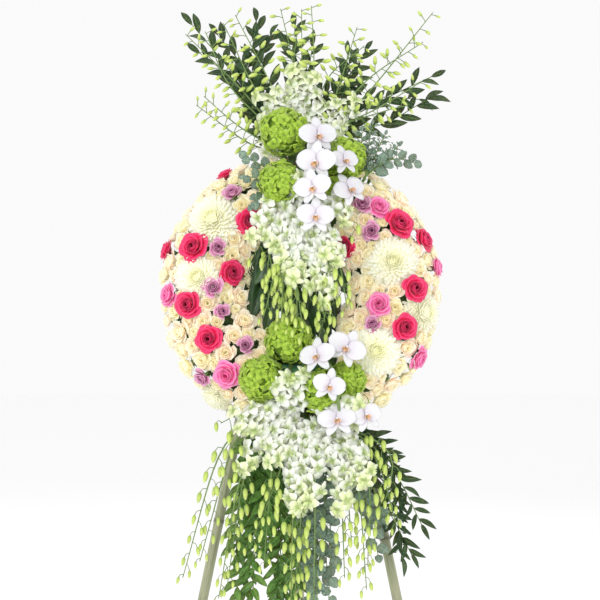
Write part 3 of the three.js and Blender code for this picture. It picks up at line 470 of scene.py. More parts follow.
def route(points, count, fineness=16):
    """Evenly spaced points on a smooth line through the given ones."""
    knots = [Vector(p) for p in points]
    padded = [knots[0] * 2 - knots[1], *knots, knots[-1] * 2 - knots[-2]]
    fine = []
    for a, b, c, d in zip(padded, padded[1:], padded[2:], padded[3:]):
        for i in range(fineness):
            t = i / fineness
            square = (2 * a - 5 * b + 4 * c - d) * t * t
            cubic = (3 * b - a - 3 * c + d) * t**3
            fine.append(0.5 * ((2 * b) + (c - a) * t + square + cubic))
    fine.append(knots[-1])
    lengths = [0.0]
    for p, q in zip(fine, fine[1:]):
        lengths.append(lengths[-1] + (q - p).length)
    spaced = []
    j = 0
    for i in range(count):
        goal = lengths[-1] * i / (count - 1)
        while j < len(fine) - 2 and lengths[j + 1] < goal:
            j += 1
        share = (goal - lengths[j]) / max(1e-9, lengths[j + 1] - lengths[j])
        spaced.append(fine[j].lerp(fine[j + 1], min(1, share)))
    return spaced


def along_route(points, share):
    """The place and direction at a share of the length of evenly spaced points."""
    step = min(len(points) - 2, int(share * (len(points) - 1)))
    start, end = points[step], points[step + 1]
    return start.lerp(end, share * (len(points) - 1) - step), (end - start).normalized()


def tapered(points, root, tip):
    """A radius for each point, from root to tip."""
    return [mix(root, tip, i / (len(points) - 1)) for i in range(len(points))]


# Meshes. Each point keeps its place on its petal, leaf or pole in the attribute "place":
# along it, across it, its layer, and a chance number that its whole bloom shares.


def new_mesh():
    bm = bmesh.new()
    bm.verts.layers.float_color.new("place")
    return bm


def sheet(bm, across, along, shape, layer=0.0, slot=0):
    """A grid bent to shape(u, w), with u across from -1 to 1 and w from 0 at the base to 1 at the tip."""
    place = bm.verts.layers.float_color["place"]
    made = bmesh.ops.create_grid(bm, x_segments=across, y_segments=along, size=1.0)["verts"]
    for vert in made:
        u, w = vert.co.x, (vert.co.y + 1) / 2
        vert[place] = (w, u * 0.5 + 0.5, layer, 0)
        vert.co = shape(u, w)
        for face in vert.link_faces:
            face.material_index = slot


def thickened(bm, thickness):
    bmesh.ops.solidify(bm, geom=bm.faces[:], thickness=thickness)
    bmesh.ops.recalc_face_normals(bm, faces=bm.faces[:])


def template(bm, name):
    mesh = bpy.data.meshes.new(name)
    bm.to_mesh(mesh)
    bm.free()
    return mesh


def place_all(bm, made, along, across, layer, slot):
    place = bm.verts.layers.float_color["place"]
    for vert in made:
        vert[place] = (along, across, layer, 0)
        for face in vert.link_faces:
            face.material_index = slot


def cone(bm, sides, bottom, top, depth, middle, place, slot, closed=True):
    """A cone up a template's own axis: a hip, a calyx or a stalk."""
    made = bmesh.ops.create_cone(
        bm,
        cap_ends=closed,
        segments=sides,
        radius1=bottom,
        radius2=top,
        depth=depth,
        matrix=Matrix.Translation((0, 0, middle)),
    )["verts"]
    place_all(bm, made, *place, slot)


def spun(outline, low, high, steps):
    """An outline of points across and forward of the ring, spun from one of the ring's steps to another."""
    bm = new_mesh()
    start = Matrix.Rotation(-low * 2 * pi / RING_STEPS, 4, "Y")
    corners = [bm.verts.new(start @ Vector((RING_MIDDLE + x, -depth, 0))) for x, depth in outline]
    face = bm.faces.new(corners)
    is_ring = high - low == RING_STEPS
    bmesh.ops.spin(
        bm,
        geom=[face, *face.edges, *corners],
        cent=(0, 0, 0),
        axis=(0, -1, 0),
        angle=(high - low) * 2 * pi / RING_STEPS,
        steps=steps,
        use_merge=is_ring,
    )
    if is_ring:
        inside = [f for f in bm.faces if len(f.verts) == len(outline)]
        bmesh.ops.delete(bm, geom=inside, context="FACES_ONLY")
    bmesh.ops.remove_doubles(bm, verts=bm.verts[:], dist=0.01)
    bmesh.ops.recalc_face_normals(bm, faces=bm.faces[:])
    return bm


def rod(points, radii, sides=6, slot=0, layers=None):
    """A round rod through the points, with a radius for each and its ends closed."""
    bm = new_mesh()
    place = bm.verts.layers.float_color["place"]
    count = len(points)
    if not isinstance(radii, (list, tuple)):
        radii = [radii] * count
    turn = None
    heading = None
    before = None
    length = 0.0
    for i, point in enumerate(points):
        ahead = (points[min(i + 1, count - 1)] - points[max(i - 1, 0)]).normalized()
        turn = UP.rotation_difference(ahead) if turn is None else heading.rotation_difference(ahead) @ turn
        heading = ahead
        if i:
            length += (point - points[i - 1]).length
        made = bmesh.ops.create_circle(
            bm,
            cap_ends=i in (0, count - 1),
            radius=radii[i],
            segments=sides,
            matrix=Matrix.Translation(point) @ turn.to_matrix().to_4x4(),
        )["verts"]
        for j, vert in enumerate(made):
            vert[place] = (length, abs(2 * j / sides - 1), layers[i] if layers else 0, 0)
        ring = list({edge for vert in made for edge in vert.link_edges})
        if before:
            bmesh.ops.bridge_loops(bm, edges=before + ring)
        before = ring
    for face in bm.faces:
        face.material_index = slot
    bmesh.ops.recalc_face_normals(bm, faces=bm.faces[:])
    return template(bm, "rod")


class Bunch:
    """A piece that grows by copies of templates."""

    def __init__(self, bm=None):
        self.bm = new_mesh() if bm is None else bm

    def stamp(self, shape, matrix=None, chance=0.5, keep=True, first_slot=0):
        """Add a copy of a template, with its material slots counted from first_slot."""
        copy = shape.copy()
        if matrix is not None:
            copy.transform(matrix)
        if first_slot:
            slots = np.empty(len(copy.polygons), np.int32)
            copy.polygons.foreach_get("material_index", slots)
            copy.polygons.foreach_set("material_index", slots + first_slot)
        data = copy.attributes["place"].data
        values = np.empty(len(data) * 4, np.float32)
        data.foreach_get("color", values)
        values[3::4] = chance
        data.foreach_set("color", values)
        self.bm.from_mesh(copy)
        bpy.data.meshes.remove(copy)
        if not keep:
            bpy.data.meshes.remove(shape)

    def stalk(self, points, radii, sides=6, slot=0, chance=0.4):
        self.stamp(rod(points, radii, sides, slot), chance=chance, keep=False)

    def finish(self, node, looks, slot, matrix=RING, nodes=None):
        """Link the piece, which replaces the node that it is named for where nodes names no others."""
        name = node.replace("_", "-")
        nodes = [node] if nodes is None else nodes
        mesh = bpy.data.meshes.new(name)
        self.bm.to_mesh(mesh)
        self.bm.free()
        mesh.transform(matrix)
        mesh.polygons.foreach_set("use_smooth", [True] * len(mesh.polygons))
        for look in looks:
            mesh.materials.append(MATERIALS[look])
        piece = bpy.data.objects.new(name, mesh)
        bpy.context.scene.collection.objects.link(piece)
        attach(piece, "root")
        if nodes:
            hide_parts(*nodes)
        return piece


# Finishes


class Field:
    """A number that changes over a surface."""

    def __init__(self, finish, socket):
        self.finish = finish
        self.socket = socket

    def _math(self, operation, other=None, swapped=False):
        values = [self.socket] if other is None else [self.socket, getattr(other, "socket", other)]
        if swapped:
            values.reverse()
        made = self.finish.node("ShaderNodeMath", {"operation": operation}, dict(enumerate(values)))
        return Field(self.finish, made.outputs[0])

    def __add__(self, other):
        return self._math("ADD", other)

    __radd__ = __add__

    def __mul__(self, other):
        return self._math("MULTIPLY", other)

    __rmul__ = __mul__

    def __sub__(self, other):
        return self._math("SUBTRACT", other)

    def __rsub__(self, other):
        return self._math("SUBTRACT", other, swapped=True)

    def __abs__(self):
        return self._math("ABSOLUTE")

    def sine(self):
        return self._math("SINE")

    def above(self, low, high):
        """0 up to low, 1 from high, and smooth between them."""
        made = self.finish.node(
            "ShaderNodeMapRange",
            {"interpolation_type": "SMOOTHSTEP"},
            {"Value": self.socket, "From Min": low, "From Max": high},
        )
        return Field(self.finish, made.outputs["Result"])


class Finish:
    """A node material around one principled shader."""

    def __init__(self, name, **sockets):
        self.material = bpy.data.materials.new(name)
        self.material.use_nodes = True
        self.nodes = self.material.node_tree.nodes
        self.shader = self.nodes["Principled BSDF"]
        for socket, value in sockets.items():
            self.shader.inputs[socket.replace("_", " ")].default_value = value
        where = self.node("ShaderNodeAttribute", {"attribute_name": "place"})
        parts = self.node("ShaderNodeSeparateColor", {}, {0: where.outputs["Color"]})
        self.along, self.across, self.layer = (Field(self, parts.outputs[i]) for i in range(3))
        self.chance = Field(self, where.outputs["Alpha"])
        self.position = self.node("ShaderNodeTexCoord").outputs["Object"]

    def node(self, kind, settings=None, values=None):
        made = self.nodes.new(kind)
        for setting, value in (settings or {}).items():
            setattr(made, setting, value)
        for socket, value in (values or {}).items():
            value = getattr(value, "socket", value)
            if isinstance(value, bpy.types.NodeSocket):
                self.material.node_tree.links.new(value, made.inputs[socket])
            else:
                made.inputs[socket].default_value = value
        return made

    def noise(self, scale, detail=3.0, stretch=None, rough=0.5):
        """Noise over the object, or over the petal where stretch gives its runs along and across."""
        vector = self.position
        if stretch:
            vector = self.node(
                "ShaderNodeCombineXYZ",
                {},
                {0: self.along * stretch[0], 1: self.across * stretch[1], 2: self.chance * 37.0},
            ).outputs[0]
        values = {"Vector": vector, "Scale": scale, "Detail": detail, "Roughness": rough}
        return Field(self, self.node("ShaderNodeTexNoise", {}, values).outputs[0])

    def blend(self, share, first, second, kind="MIX"):
        """A colour between two, each a colour or the result of another blend."""
        made = self.node(
            "ShaderNodeMix",
            {"data_type": "RGBA", "blend_type": kind},
            {"Factor": share, 6: first, 7: second},
        )
        return made.outputs[2]

    def shaded(self, colour, shade):
        """A colour times a grey."""
        grey = self.node("ShaderNodeCombineColor", {}, {0: shade, 1: shade, 2: shade}).outputs[0]
        return self.blend(1.0, colour, grey, "MULTIPLY")

    def paint(self, colour, roughness=None, height=None, bump=0.0005):
        links = self.material.node_tree.links
        links.new(colour, self.shader.inputs["Base Color"])
        if roughness is not None:
            links.new(roughness.socket, self.shader.inputs["Roughness"])
        if height is not None:
            made = self.node("ShaderNodeBump", {}, {"Height": height, "Distance": bump, "Strength": 0.6})
            links.new(made.outputs[0], self.shader.inputs["Normal"])
        return self.material


def rgba(colour):
    return (*colour, 1.0)


def petal_finish(name, deep, body, edge, heart, rough=0.55, glow=0.18, other=None, deep_to=0.62, painted_glow=0.0):
    """Petals: deep at the base and in the heart, paler at the edge, with fine veins along them, and a painted
    glow of the edge colour as strong as painted_glow.
    """
    finish = Finish(name, Subsurface_Weight=glow, Subsurface_Scale=0.008, Sheen_Weight=0.15)
    finish.shader.inputs["Subsurface Radius"].default_value = (1.0, 0.8, 0.7)
    # Painted light: the petals emit their edge colour, a painted glow that brightens them where the blooms
    # shade each other
    finish.shader.inputs["Emission Color"].default_value = rgba(edge)
    finish.shader.inputs["Emission Strength"].default_value = painted_glow
    veins = finish.noise(1.0, 4.0, stretch=(2.2, 34.0))
    wide = rgba(body)
    if other is not None:
        wide = finish.blend(finish.chance.above(0.3, 0.75), rgba(body), rgba(other))
    colour = finish.blend(finish.along.above(0.0, deep_to), rgba(deep), wide)
    colour = finish.blend(finish.along.above(0.72, 1.0) * 0.75, colour, rgba(edge))
    colour = finish.blend(finish.layer.above(0.55, 0.0) * 0.7, colour, rgba(heart))
    colour = finish.shaded(colour, 0.84 + veins * 0.2 + finish.chance * 0.1)
    return finish.paint(colour, rough - 0.12 + veins * 0.2, veins, 0.0004)


def leaf_finish(name, dark, light, rib, rough=0.4, bloom=0.0):
    """Leaves: a pale midrib, side veins, and patches of light and dark."""
    finish = Finish(name, Subsurface_Weight=0.06, Subsurface_Scale=0.002)
    aside = abs(finish.across * 2.0 - 1.0)
    midrib = 1.0 - aside.above(0.03, 0.12)
    ribs = (finish.along * 62.0 - aside * 16.0).sine()
    side = ribs.above(0.7, 1.0) * 0.35
    patches = finish.noise(1.0, 3.0, stretch=(5.0, 4.0))
    colour = finish.blend(patches.above(0.3, 0.7), rgba(dark), rgba(light))
    colour = finish.blend((midrib * 0.7 + side) * 0.8, colour, rgba(rib))
    colour = finish.shaded(colour, 0.78 + finish.chance * 0.4)
    return finish.paint(colour, rough - 0.1 + patches * 0.25 + bloom * aside, midrib + side, 0.0006)


def bamboo_finish():
    finish = Finish("Dried bamboo", Coat_Weight=0.15, Coat_Roughness=0.25)
    fibres = finish.noise(1.0, 5.0, stretch=(0.012, 16.0), rough=0.65)
    blotches = finish.noise(9.0, 3.0)
    colour = finish.blend(fibres.above(0.25, 0.75), rgba((0.19, 0.205, 0.12)), rgba((0.44, 0.45, 0.28)))
    colour = finish.blend(blotches.above(0.5, 0.75) * 0.5, colour, rgba((0.22, 0.27, 0.13)))
    colour = finish.blend(finish.layer * 0.75, colour, rgba((0.10, 0.09, 0.06)))
    return finish.paint(colour, 0.32 + fibres * 0.25, fibres, 0.0004)


def twine_finish():
    finish = Finish("Jute twine", Sheen_Weight=0.3)
    twist = (finish.along * 1.9 + finish.across * 5.0).sine().above(-1.0, 1.0)
    fuzz = finish.noise(900.0, 2.0)
    colour = finish.blend(twist, rgba((0.30, 0.21, 0.11)), rgba((0.62, 0.49, 0.31)))
    return finish.paint(colour, 0.8 + fuzz * 0.15, twist + fuzz * 0.5, 0.0008)


def plain_finish(name, dark, light, scale, rough, bump, metal=0.0):
    """A made surface with a fine grain: moulded plastic, floral foam or plated steel."""
    finish = Finish(name, Metallic=metal)
    grain = finish.noise(scale, 4.0)
    wide = finish.noise(scale * 0.04, 3.0)
    colour = finish.blend(grain * 0.6 + wide * 0.4, rgba(dark), rgba(light))
    return finish.paint(colour, rough - 0.1 + grain * 0.2, grain, bump)


def moss_finish():
    finish = Finish("Base greenery")
    tufts = finish.noise(120.0, 5.0, rough=0.7)
    colour = finish.blend(tufts.above(0.3, 0.7), rgba((0.02, 0.05, 0.015)), rgba((0.13, 0.22, 0.06)))
    return finish.paint(colour, 0.75 + tufts * 0.2, tufts, 0.004)


def make_finishes(colours):
    """Fill MATERIALS: petals by deep, body, edge and heart colour, leaves by dark, light and rib."""
    cream, red, pink = colours.cream_rose, colours.red_rose, colours.pink_rose
    # Petal finishes given painted_glow emit their edge colour as painted light, brightening them where the
    # blooms shade each other
    made = {
        "red": petal_finish(
            "Red rose petal", (0.44, 0.0, 0.045), red, (0.94, 0.04, 0.20), (0.46, 0.0, 0.05), 0.5
        ),
        "pink": petal_finish(
            "Pink rose petal", (0.82, 0.05, 0.27), pink, (0.98, 0.36, 0.62), (0.86, 0.05, 0.29), painted_glow=0.04
        ),
        "lavender": petal_finish(
            "Lavender rose petal",
            (0.54, 0.12, 0.32),
            (0.72, 0.24, 0.47),
            (0.86, 0.50, 0.66),
            (0.54, 0.12, 0.32),
        ),
        "cream": petal_finish(
            "Cream rose petal",
            (0.97, 0.82, 0.38),
            cream,
            (0.98, 0.93, 0.68),
            (0.97, 0.84, 0.42),
            glow=0.45,
            other=(0.98, 0.74, 0.58),
            painted_glow=0.12,
        ),
        "mum": petal_finish(
            "Chrysanthemum petal",
            (0.93, 0.90, 0.40),
            (0.97, 0.95, 0.64),
            (0.98, 0.98, 0.83),
            (0.92, 0.90, 0.30),
            glow=0.6,
            painted_glow=0.10,
        ),
        "hydrangea": petal_finish(
            "Hydrangea sepal",
            (0.36, 0.56, 0.035),
            colours.hydrangea,
            (0.53, 0.75, 0.10),
            (0.17, 0.33, 0.015),
            glow=0.3,
        ),
        "moth": petal_finish(
            "Moth orchid petal",
            (0.74, 0.68, 0.76),
            (0.78, 0.77, 0.80),
            (0.82, 0.82, 0.84),
            (0.76, 0.72, 0.78),
            0.4,
        ),
        "lip": petal_finish(
            "Moth orchid lip", (0.72, 0.40, 0.05), (0.72, 0.42, 0.30), (0.86, 0.74, 0.62), (0.8, 0.5, 0.1)
        ),
        "dendrobium": petal_finish(
            "Dendrobium petal",
            (0.54, 0.70, 0.18),
            (0.93, 0.95, 0.82),
            (0.97, 0.98, 0.93),
            (0.66, 0.78, 0.32),
            0.42,
            glow=0.4,
            other=(0.84, 0.91, 0.46),
            deep_to=0.5,
            painted_glow=0.03,
        ),
        "bud": petal_finish(
            "Orchid bud", (0.34, 0.48, 0.07), (0.54, 0.66, 0.15), (0.74, 0.80, 0.36), (0.50, 0.62, 0.16), 0.4
        ),
        "stem": leaf_finish("Green stem", (0.10, 0.20, 0.04), (0.26, 0.38, 0.12), (0.26, 0.38, 0.12), 0.45),
        "leaf": leaf_finish(
            "Dark glossy leaf", (0.010, 0.035, 0.012), (0.03, 0.09, 0.02), (0.12, 0.22, 0.07), 0.34
        ),
        "ruscus": leaf_finish(
            "Ruscus leaf", (0.04, 0.14, 0.015), (0.13, 0.30, 0.035), (0.26, 0.44, 0.12), 0.36
        ),
        "eucalyptus": leaf_finish(
            "Eucalyptus leaf", (0.10, 0.18, 0.13), (0.22, 0.32, 0.24), (0.34, 0.42, 0.32), 0.6, 0.1
        ),
        "moss": moss_finish(),
        "bamboo": bamboo_finish(),
        "twine": twine_finish(),
        "foam": plain_finish("Floral foam", (0.03, 0.14, 0.06), (0.09, 0.27, 0.13), 700.0, 0.95, 0.001),
        "tray": plain_finish("Ring tray plastic", (0.02, 0.10, 0.04), (0.04, 0.17, 0.07), 300.0, 0.5, 0.0002),
        "steel": plain_finish(
            "Plated steel", (0.48, 0.49, 0.50), (0.66, 0.67, 0.68), 400.0, 0.35, 0.0001, 1.0
        ),
    }
    MATERIALS.update(made)


# Templates, each one unit in radius or length


def swung(out, side, rise, angle):
    """A point so far out from a flower's axis, to the side and up, at an angle round the axis."""
    return Vector((out * cos(angle) - side * sin(angle), out * sin(angle) + side * cos(angle), rise))


def cup(openness, length, base, start, spin, span, ripple, steps=8):
    """A rose petal's shape: up from its base, out or in as it is open, and round the rose's axis."""
    openness = max(0.0, openness)
    root, middle, tip = 62, mix(-22, 46, openness), mix(-13, 118, openness**1.5)
    runs = [(start, base)]
    for i in range(steps):
        w = (i + 0.5) / steps
        tilt = radians((1 - w) ** 2 * root + 2 * w * (1 - w) * middle + w * w * tip)
        runs.append((runs[-1][0] + length / steps * sin(tilt), runs[-1][1] + length / steps * cos(tilt)))

    def shape(u, w):
        rounded = w * (1 - 0.16 * abs(u) ** 2.5)
        step = min(steps - 1, int(rounded * steps))
        share = rounded * steps - step
        reach = mix(runs[step][0], runs[step + 1][0], share)
        rise = mix(runs[step][1], runs[step + 1][1], share)
        angle = spin + u * span * (0.4 + 0.6 * min(1, w * 1.7)) * (1 - 0.12 * w * w)
        reach *= 1 + 0.06 * u
        reach += ripple * sin(3 * u + spin * 5) * w**3
        rise += ripple * 0.8 * cos(4 * u + spin * 3) * w**3
        return swung(reach, 0, rise, angle)

    return shape


def rose_template(petals, across, along, seed, open_to=1.0, height=0.42):
    """A rose of cupped petals, the innermost closed, over five sepals and a hip."""
    draw = random.Random(seed)
    bm = new_mesh()
    for i in range(petals):
        o = (i / (petals - 1)) ** 0.85 * open_to
        shape = cup(
            openness=o + draw.uniform(-0.03, 0.03),
            length=mix(0.80, 0.98, o) * draw.uniform(0.96, 1.02),
            base=mix(height - 0.78, -0.42, o),
            start=mix(0.035, 0.12, o),
            spin=i * GOLDEN_ANGLE + draw.uniform(-0.15, 0.15),
            span=mix(1.9, 0.72, min(1, o * 1.5)),
            ripple=mix(0.008, 0.03, o),
        )
        sheet(bm, across, along, shape, layer=o)
    thickened(bm, 0.022)
    for i in range(5):
        angle = i * 2 * pi / 5

        def sepal(u, w):
            return swung(0.1 + 0.5 * w, u * (1 - w) * 0.12, -0.5 + 0.02 * w - 0.1 * w * w, angle)

        sheet(bm, 2, 3, sepal, slot=1)
    cone(bm, 8, 0.08, 0.22, 0.9, -0.82, (0.5, 0.4, 0), 1)
    return template(bm, "rose")


def chrysanthemum_template(petals, seed):
    """A ball of narrow petals, upright in the middle and falling at the rim."""
    draw = random.Random(seed)
    bm = new_mesh()
    for i in range(petals):
        o = (i / (petals - 1)) ** 0.58
        spin = i * GOLDEN_ANGLE + draw.uniform(-0.06, 0.06)
        length = mix(0.26, 0.84, min(1, o * 1.1)) * draw.uniform(0.88, 1.06)
        width = mix(0.05, 0.12, o)
        start = 0.04 + 0.16 * o
        base = mix(0.02, -0.32, o**1.5)
        low_tilt = mix(74, 6, o**0.9)
        high_tilt = low_tilt + mix(64, -22, o) + draw.uniform(-6, 6)

        def shape(u, w):
            tilt = radians(mix(low_tilt, high_tilt, w * 0.55))
            taper = sqrt(max(0.04, 1 - max(0, (w - 0.7) / 0.3) ** 2 * 0.9))
            half = width * (0.45 + 0.55 * min(1, w * 2.5)) * taper
            rise = base + length * w * sin(tilt) + 0.05 * w * w
            return swung(start + length * w * cos(tilt), u * half, rise + 0.5 * half * u * u, spin)

        sheet(bm, 2, 3, shape, layer=o)
    thickened(bm, 0.012)
    cone(bm, 12, 0.10, 0.34, 0.34, -0.4, (0.5, 0.4, 0), 1)
    return template(bm, "chrysanthemum")


def open_flower(bm, across, along, thickness, petals):
    """Flat petals round one centre, each given by its angle, length, width, cupping and back-curl."""
    for angle, length, width, cupping, curl in petals:

        def shape(u, w):
            half = width / 2 * sqrt(max(0.0, sin(pi * min(0.97, 0.08 + 0.9 * w**0.85))))
            rise = cupping * (u * u * half + 0.25 * w) - curl * w**3 + 0.02 * sin(5 * u + angle) * w
            return swung(0.04 + length * w, u * half, rise, angle)

        sheet(bm, across, along, shape, layer=1)
    thickened(bm, thickness)


def hydrangea_template(seed):
    draw = random.Random(seed)
    bm = new_mesh()
    sepals = []
    for i in range(4):
        angle = i * pi / 2 + draw.uniform(-0.2, 0.2)
        width = 1.1 * draw.uniform(0.9, 1.08)
        sepals.append((angle, 0.98, width, draw.uniform(0.2, 0.6), 0.1))
    open_flower(bm, 2, 2, 0.045, sepals)
    eye = bmesh.ops.create_uvsphere(
        bm, u_segments=4, v_segments=3, radius=0.14, matrix=Matrix.Translation((0, 0, 0.08))
    )["verts"]
    place_all(bm, eye, 0.3, 0.5, 0.0, 0)
    cone(bm, 4, 0.03, 0.07, 1.1, -0.55, (0.1, 0.5, 0.2), 0, closed=False)
    return template(bm, "hydrangea floret")


def moth_orchid_template():
    """Three sepals, two broad wings before them, and a lip of two sides and a tongue round the column."""
    bm = new_mesh()
    sepals = [
        (pi / 2, 0.95, 0.56, 0.10, 0.10),
        (-pi * 0.30, 0.90, 0.50, 0.10, 0.12),
        (-pi * 0.70, 0.90, 0.50, 0.10, 0.12),
    ]
    open_flower(bm, 5, 7, 0.02, sepals)
    wings = new_mesh()
    open_flower(wings, 8, 8, 0.02, [(angle, 0.94, 1.02, 0.10, 0.06) for angle in (0.14, pi - 0.14)])
    bmesh.ops.translate(wings, verts=wings.verts[:], vec=(0, 0, 0.05))
    lip = new_mesh()
    for side in (-1, 1):

        def lip_side(u, w):
            rise = 0.08 + 0.22 * w - 0.08 * u * u
            return Vector((side * (0.03 + 0.15 * w), -0.06 - 0.10 * w + 0.08 * u, rise))

        sheet(lip, 4, 4, lip_side, layer=1, slot=1)

    def tongue(u, w):
        rise = 0.10 + 0.16 * sin(pi * w * 0.9) + 0.06 * u * u
        return Vector((u * 0.10 * (1.2 - w), -0.10 - 0.30 * w, rise))

    sheet(lip, 4, 5, tongue, layer=1, slot=1)
    thickened(lip, 0.025)
    column = bmesh.ops.create_uvsphere(lip, u_segments=8, v_segments=6, radius=0.075)["verts"]
    place_all(lip, column, 0.9, 0.5, 1, 0)
    bmesh.ops.scale(lip, verts=column, vec=(0.9, 0.9, 1.7))
    bmesh.ops.translate(lip, verts=column, vec=(0, 0.0, 0.14))
    whole = Bunch(bm)
    for part in (wings, lip):
        whole.stamp(template(part, "part"), keep=False)
    return template(whole.bm, "moth orchid")


def dendrobium_template(seed, reach):
    """Three sepals, two wider petals and a lip, on a stalk that reaches back to the stem."""
    draw = random.Random(seed)
    bm = new_mesh()
    petals = []
    for i in range(5):
        length, width = (0.95, 0.96) if i in (1, 4) else (0.98, 0.60)
        angle = pi / 2 + i * 2 * pi / 5 + draw.uniform(-0.1, 0.1)
        petals.append((angle, length, width, 0.16, 0.12 + draw.uniform(-0.08, 0.16)))
    open_flower(bm, 2, 3, 0.04, petals)

    def lip(u, w):
        rise = 0.12 + 0.30 * w - 0.18 * w * w + 0.3 * u * u
        return Vector((u * 0.22 * (1 - 0.4 * w), -0.12 - 0.34 * w, rise))

    sheet(bm, 2, 3, lip, layer=0.1)
    cone(bm, 5, 0.05, 0.12, reach, -reach / 2, (0.1, 0.5, 0.4), 1)
    return template(bm, "dendrobium floret")


def bud_template():
    bm = new_mesh()
    place = bm.verts.layers.float_color["place"]
    made = bmesh.ops.create_uvsphere(bm, u_segments=6, v_segments=6, radius=0.5)["verts"]
    for vert in made:
        w = vert.co.z + 0.5
        girth = 0.44 * (1.25 - 0.5 * w)
        vert[place] = (w, 0.5, 0.8, 0)
        vert.co = Vector((vert.co.x * girth + 0.10 * w * w, vert.co.y * girth, w))
    return template(bm, "bud")


def leaf_template(across, along, widest, fold, droop, tip, stalk=0.0):
    """A leaf one unit long and one wide, lying along z with its face to +y."""
    bm = new_mesh()

    def shape(u, w):
        run = w ** (0.25 / widest + 0.25)
        half = 0.5 * max(0.0, sin(pi * min(1, run))) ** tip
        x = u * max(half, 0.012 if w < 0.98 else 0.002)
        y = fold * abs(x) - droop * w * w + 0.015 * sin(9 * w + 3 * u)
        return Vector((x, y, stalk + (1 - stalk) * w))

    sheet(bm, across, along, shape, layer=1)
    thickened(bm, 0.012)
    return template(bm, "leaf")


def make_templates(shapes):
    TEMPLATES.update(
        {
            "roses": [rose_template(shapes.rose_petals, 5, 5, seed) for seed in (1, 2, 3)],
            "small": [
                rose_template(shapes.small_rose_petals, 3, 4, seed, 0.86, 0.44) for seed in (11, 12, 13)
            ],
            "tight": [rose_template(9, 3, 3, seed, 0.5, 0.5) for seed in (21, 22)],
            "mums": [chrysanthemum_template(shapes.chrysanthemum_petals, seed) for seed in (31, 32)],
            "florets": [hydrangea_template(seed) for seed in (41, 42, 43)],
            "moth": moth_orchid_template(),
            "dendrobium": [dendrobium_template(seed, 0.75) for seed in (51, 52, 53)],
            "bud": bud_template(),
            "lance": leaf_template(4, 8, 0.42, 0.35, 0.06, 0.85),
            "round": leaf_template(4, 6, 0.5, 0.12, 0.05, 0.55, 0.06),
            "small leaf": leaf_template(2, 4, 0.45, 0.3, 0.10, 0.8),
            "broad": leaf_template(6, 10, 0.45, 0.25, 0.08, 0.75),
        }
    )


# Piece by piece


def blooms_of(table):
    for index, (node, u, v, radius, lift) in enumerate(table):
        centre, normal = on_ring(u, v)
        yield index, node, centre + normal * (lift + stand_off(u, v)), normal, radius


def loosened(points, draw, amount):
    """The same run, strayed a little more towards its tip."""
    moved = [Vector(points[0])]
    for i, point in enumerate(points[1:]):
        stray = Vector([draw.uniform(-amount, amount) * (0.5, 0.8, 1)[i] for _ in range(3)])
        stray.y *= 0.5
        moved.append(Vector(point) * (1 - 0.03 * i) + stray)
    return moved


def orchid_spray(bunch, points, flowers, buds, start, draw, outward, hang):
    """A stem with flowers from its start and buds to its tip, which hang as far as hang says."""
    line = route(points, 18)
    bunch.stalk(line, tapered(line, 2.6, 1.0), slot=2)
    count = flowers + buds
    for i in range(count):
        point, along = along_route(line, start + (0.985 - start) * i / (count - 1))
        side = along.cross(FRONT).normalized() * (1 if i % 2 else -1)
        is_flower = i < flowers
        out = side * (0.75 if is_flower else 1.0) + FRONT * (outward if is_flower else 0.35) + along * 0.5
        out += jitter(draw, 0.3)
        out.normalize()
        if is_flower:
            size = FLORET_RADIUS * draw.uniform(0.88, 1.08)
            floret = draw.choice(TEMPLATES["dendrobium"])
            matrix = facing(point + out * 0.75 * size, out, draw.uniform(0, 6), size)
            greenness = 0.8 * (i / flowers) ** 2 + 0.2 * draw.random()
            bunch.stamp(floret, matrix, greenness)
        else:
            length = mix(24, 29, hang) * (1 - 0.42 * (i - flowers) / buds) * draw.uniform(0.9, 1.1)
            reach = length * 0.7
            fall = (out * (1.1 - hang) + UP * -hang).normalized()
            bend = [point, point + out * reach * 0.6, point + out * reach * 0.9 + fall * reach * 0.5]
            bunch.stalk(bend, [0.9, 0.9, 1.1], 4, 2)
            matrix = facing(bend[-1] - fall * 1.5, fall, draw.uniform(0, 6), length)
            bunch.stamp(TEMPLATES["bud"], matrix, draw.random(), first_slot=1)


def leafy_stem(bunch, points, leaves, length, width, start, spread, shape, draw, tilt=0.5, seeds=0):
    """A stem with leaves to both sides of it from its start on, and with seed pods where seeds says."""
    line = route(points, 14)
    bunch.stalk(line, tapered(line, 2.4, 1.0), slot=1)
    for i in range(leaves):
        point, along = along_route(line, start + (0.99 - start) * i / (leaves - 1))
        side = along.cross(FRONT).normalized() * (1 if i % 2 else -1)
        aside = 0 if i == leaves - 1 else spread * draw.uniform(0.5, 1.4)
        direction = along + side * aside + FRONT * draw.uniform(-0.2, 0.45)
        normal = FRONT + side * draw.uniform(-tilt, tilt) + along * draw.uniform(-tilt, tilt)
        size = (1 - 0.35 * i / leaves) * draw.uniform(0.75, 1.1)
        scale = (width * size, length * size, length * size)
        bunch.stamp(shape, lying(point, direction, normal, scale), draw.random())
    for i in range(seeds):
        point, along = along_route(line, start + (0.98 - start) * i / seeds)
        out = (jitter(draw, 1).cross(along).normalized() + FRONT * 0.5).normalized()
        end = point + out * draw.uniform(8, 20) + along * 6
        bunch.stalk([point, end], 0.7, 3, 1, chance=0.3)
        bunch.stamp(TEMPLATES["bud"], facing(end - out * 2, out, 0, draw.uniform(7, 11)), draw.random())


class WREATH_PG_shapes(bpy.types.PropertyGroup):
    """How many petals and florets the flowers have"""

    rose_petals: bpy.props.IntProperty(
        name="Rose petals", description="Petals in each large rose", default=24, min=8, max=60
    )
    small_rose_petals: bpy.props.IntProperty(
        name="Small rose petals", description="Petals in each small rose", default=14, min=6, max=40
    )
    chrysanthemum_petals: bpy.props.IntProperty(
        name="Chrysanthemum petals", description="Petals in each chrysanthemum", default=330, min=40, max=400
    )
    hydrangea_florets: bpy.props.IntProperty(
        name="Hydrangea florets",
        description="Florets over the whole of each head",
        default=120,
        min=20,
        max=300,
    )


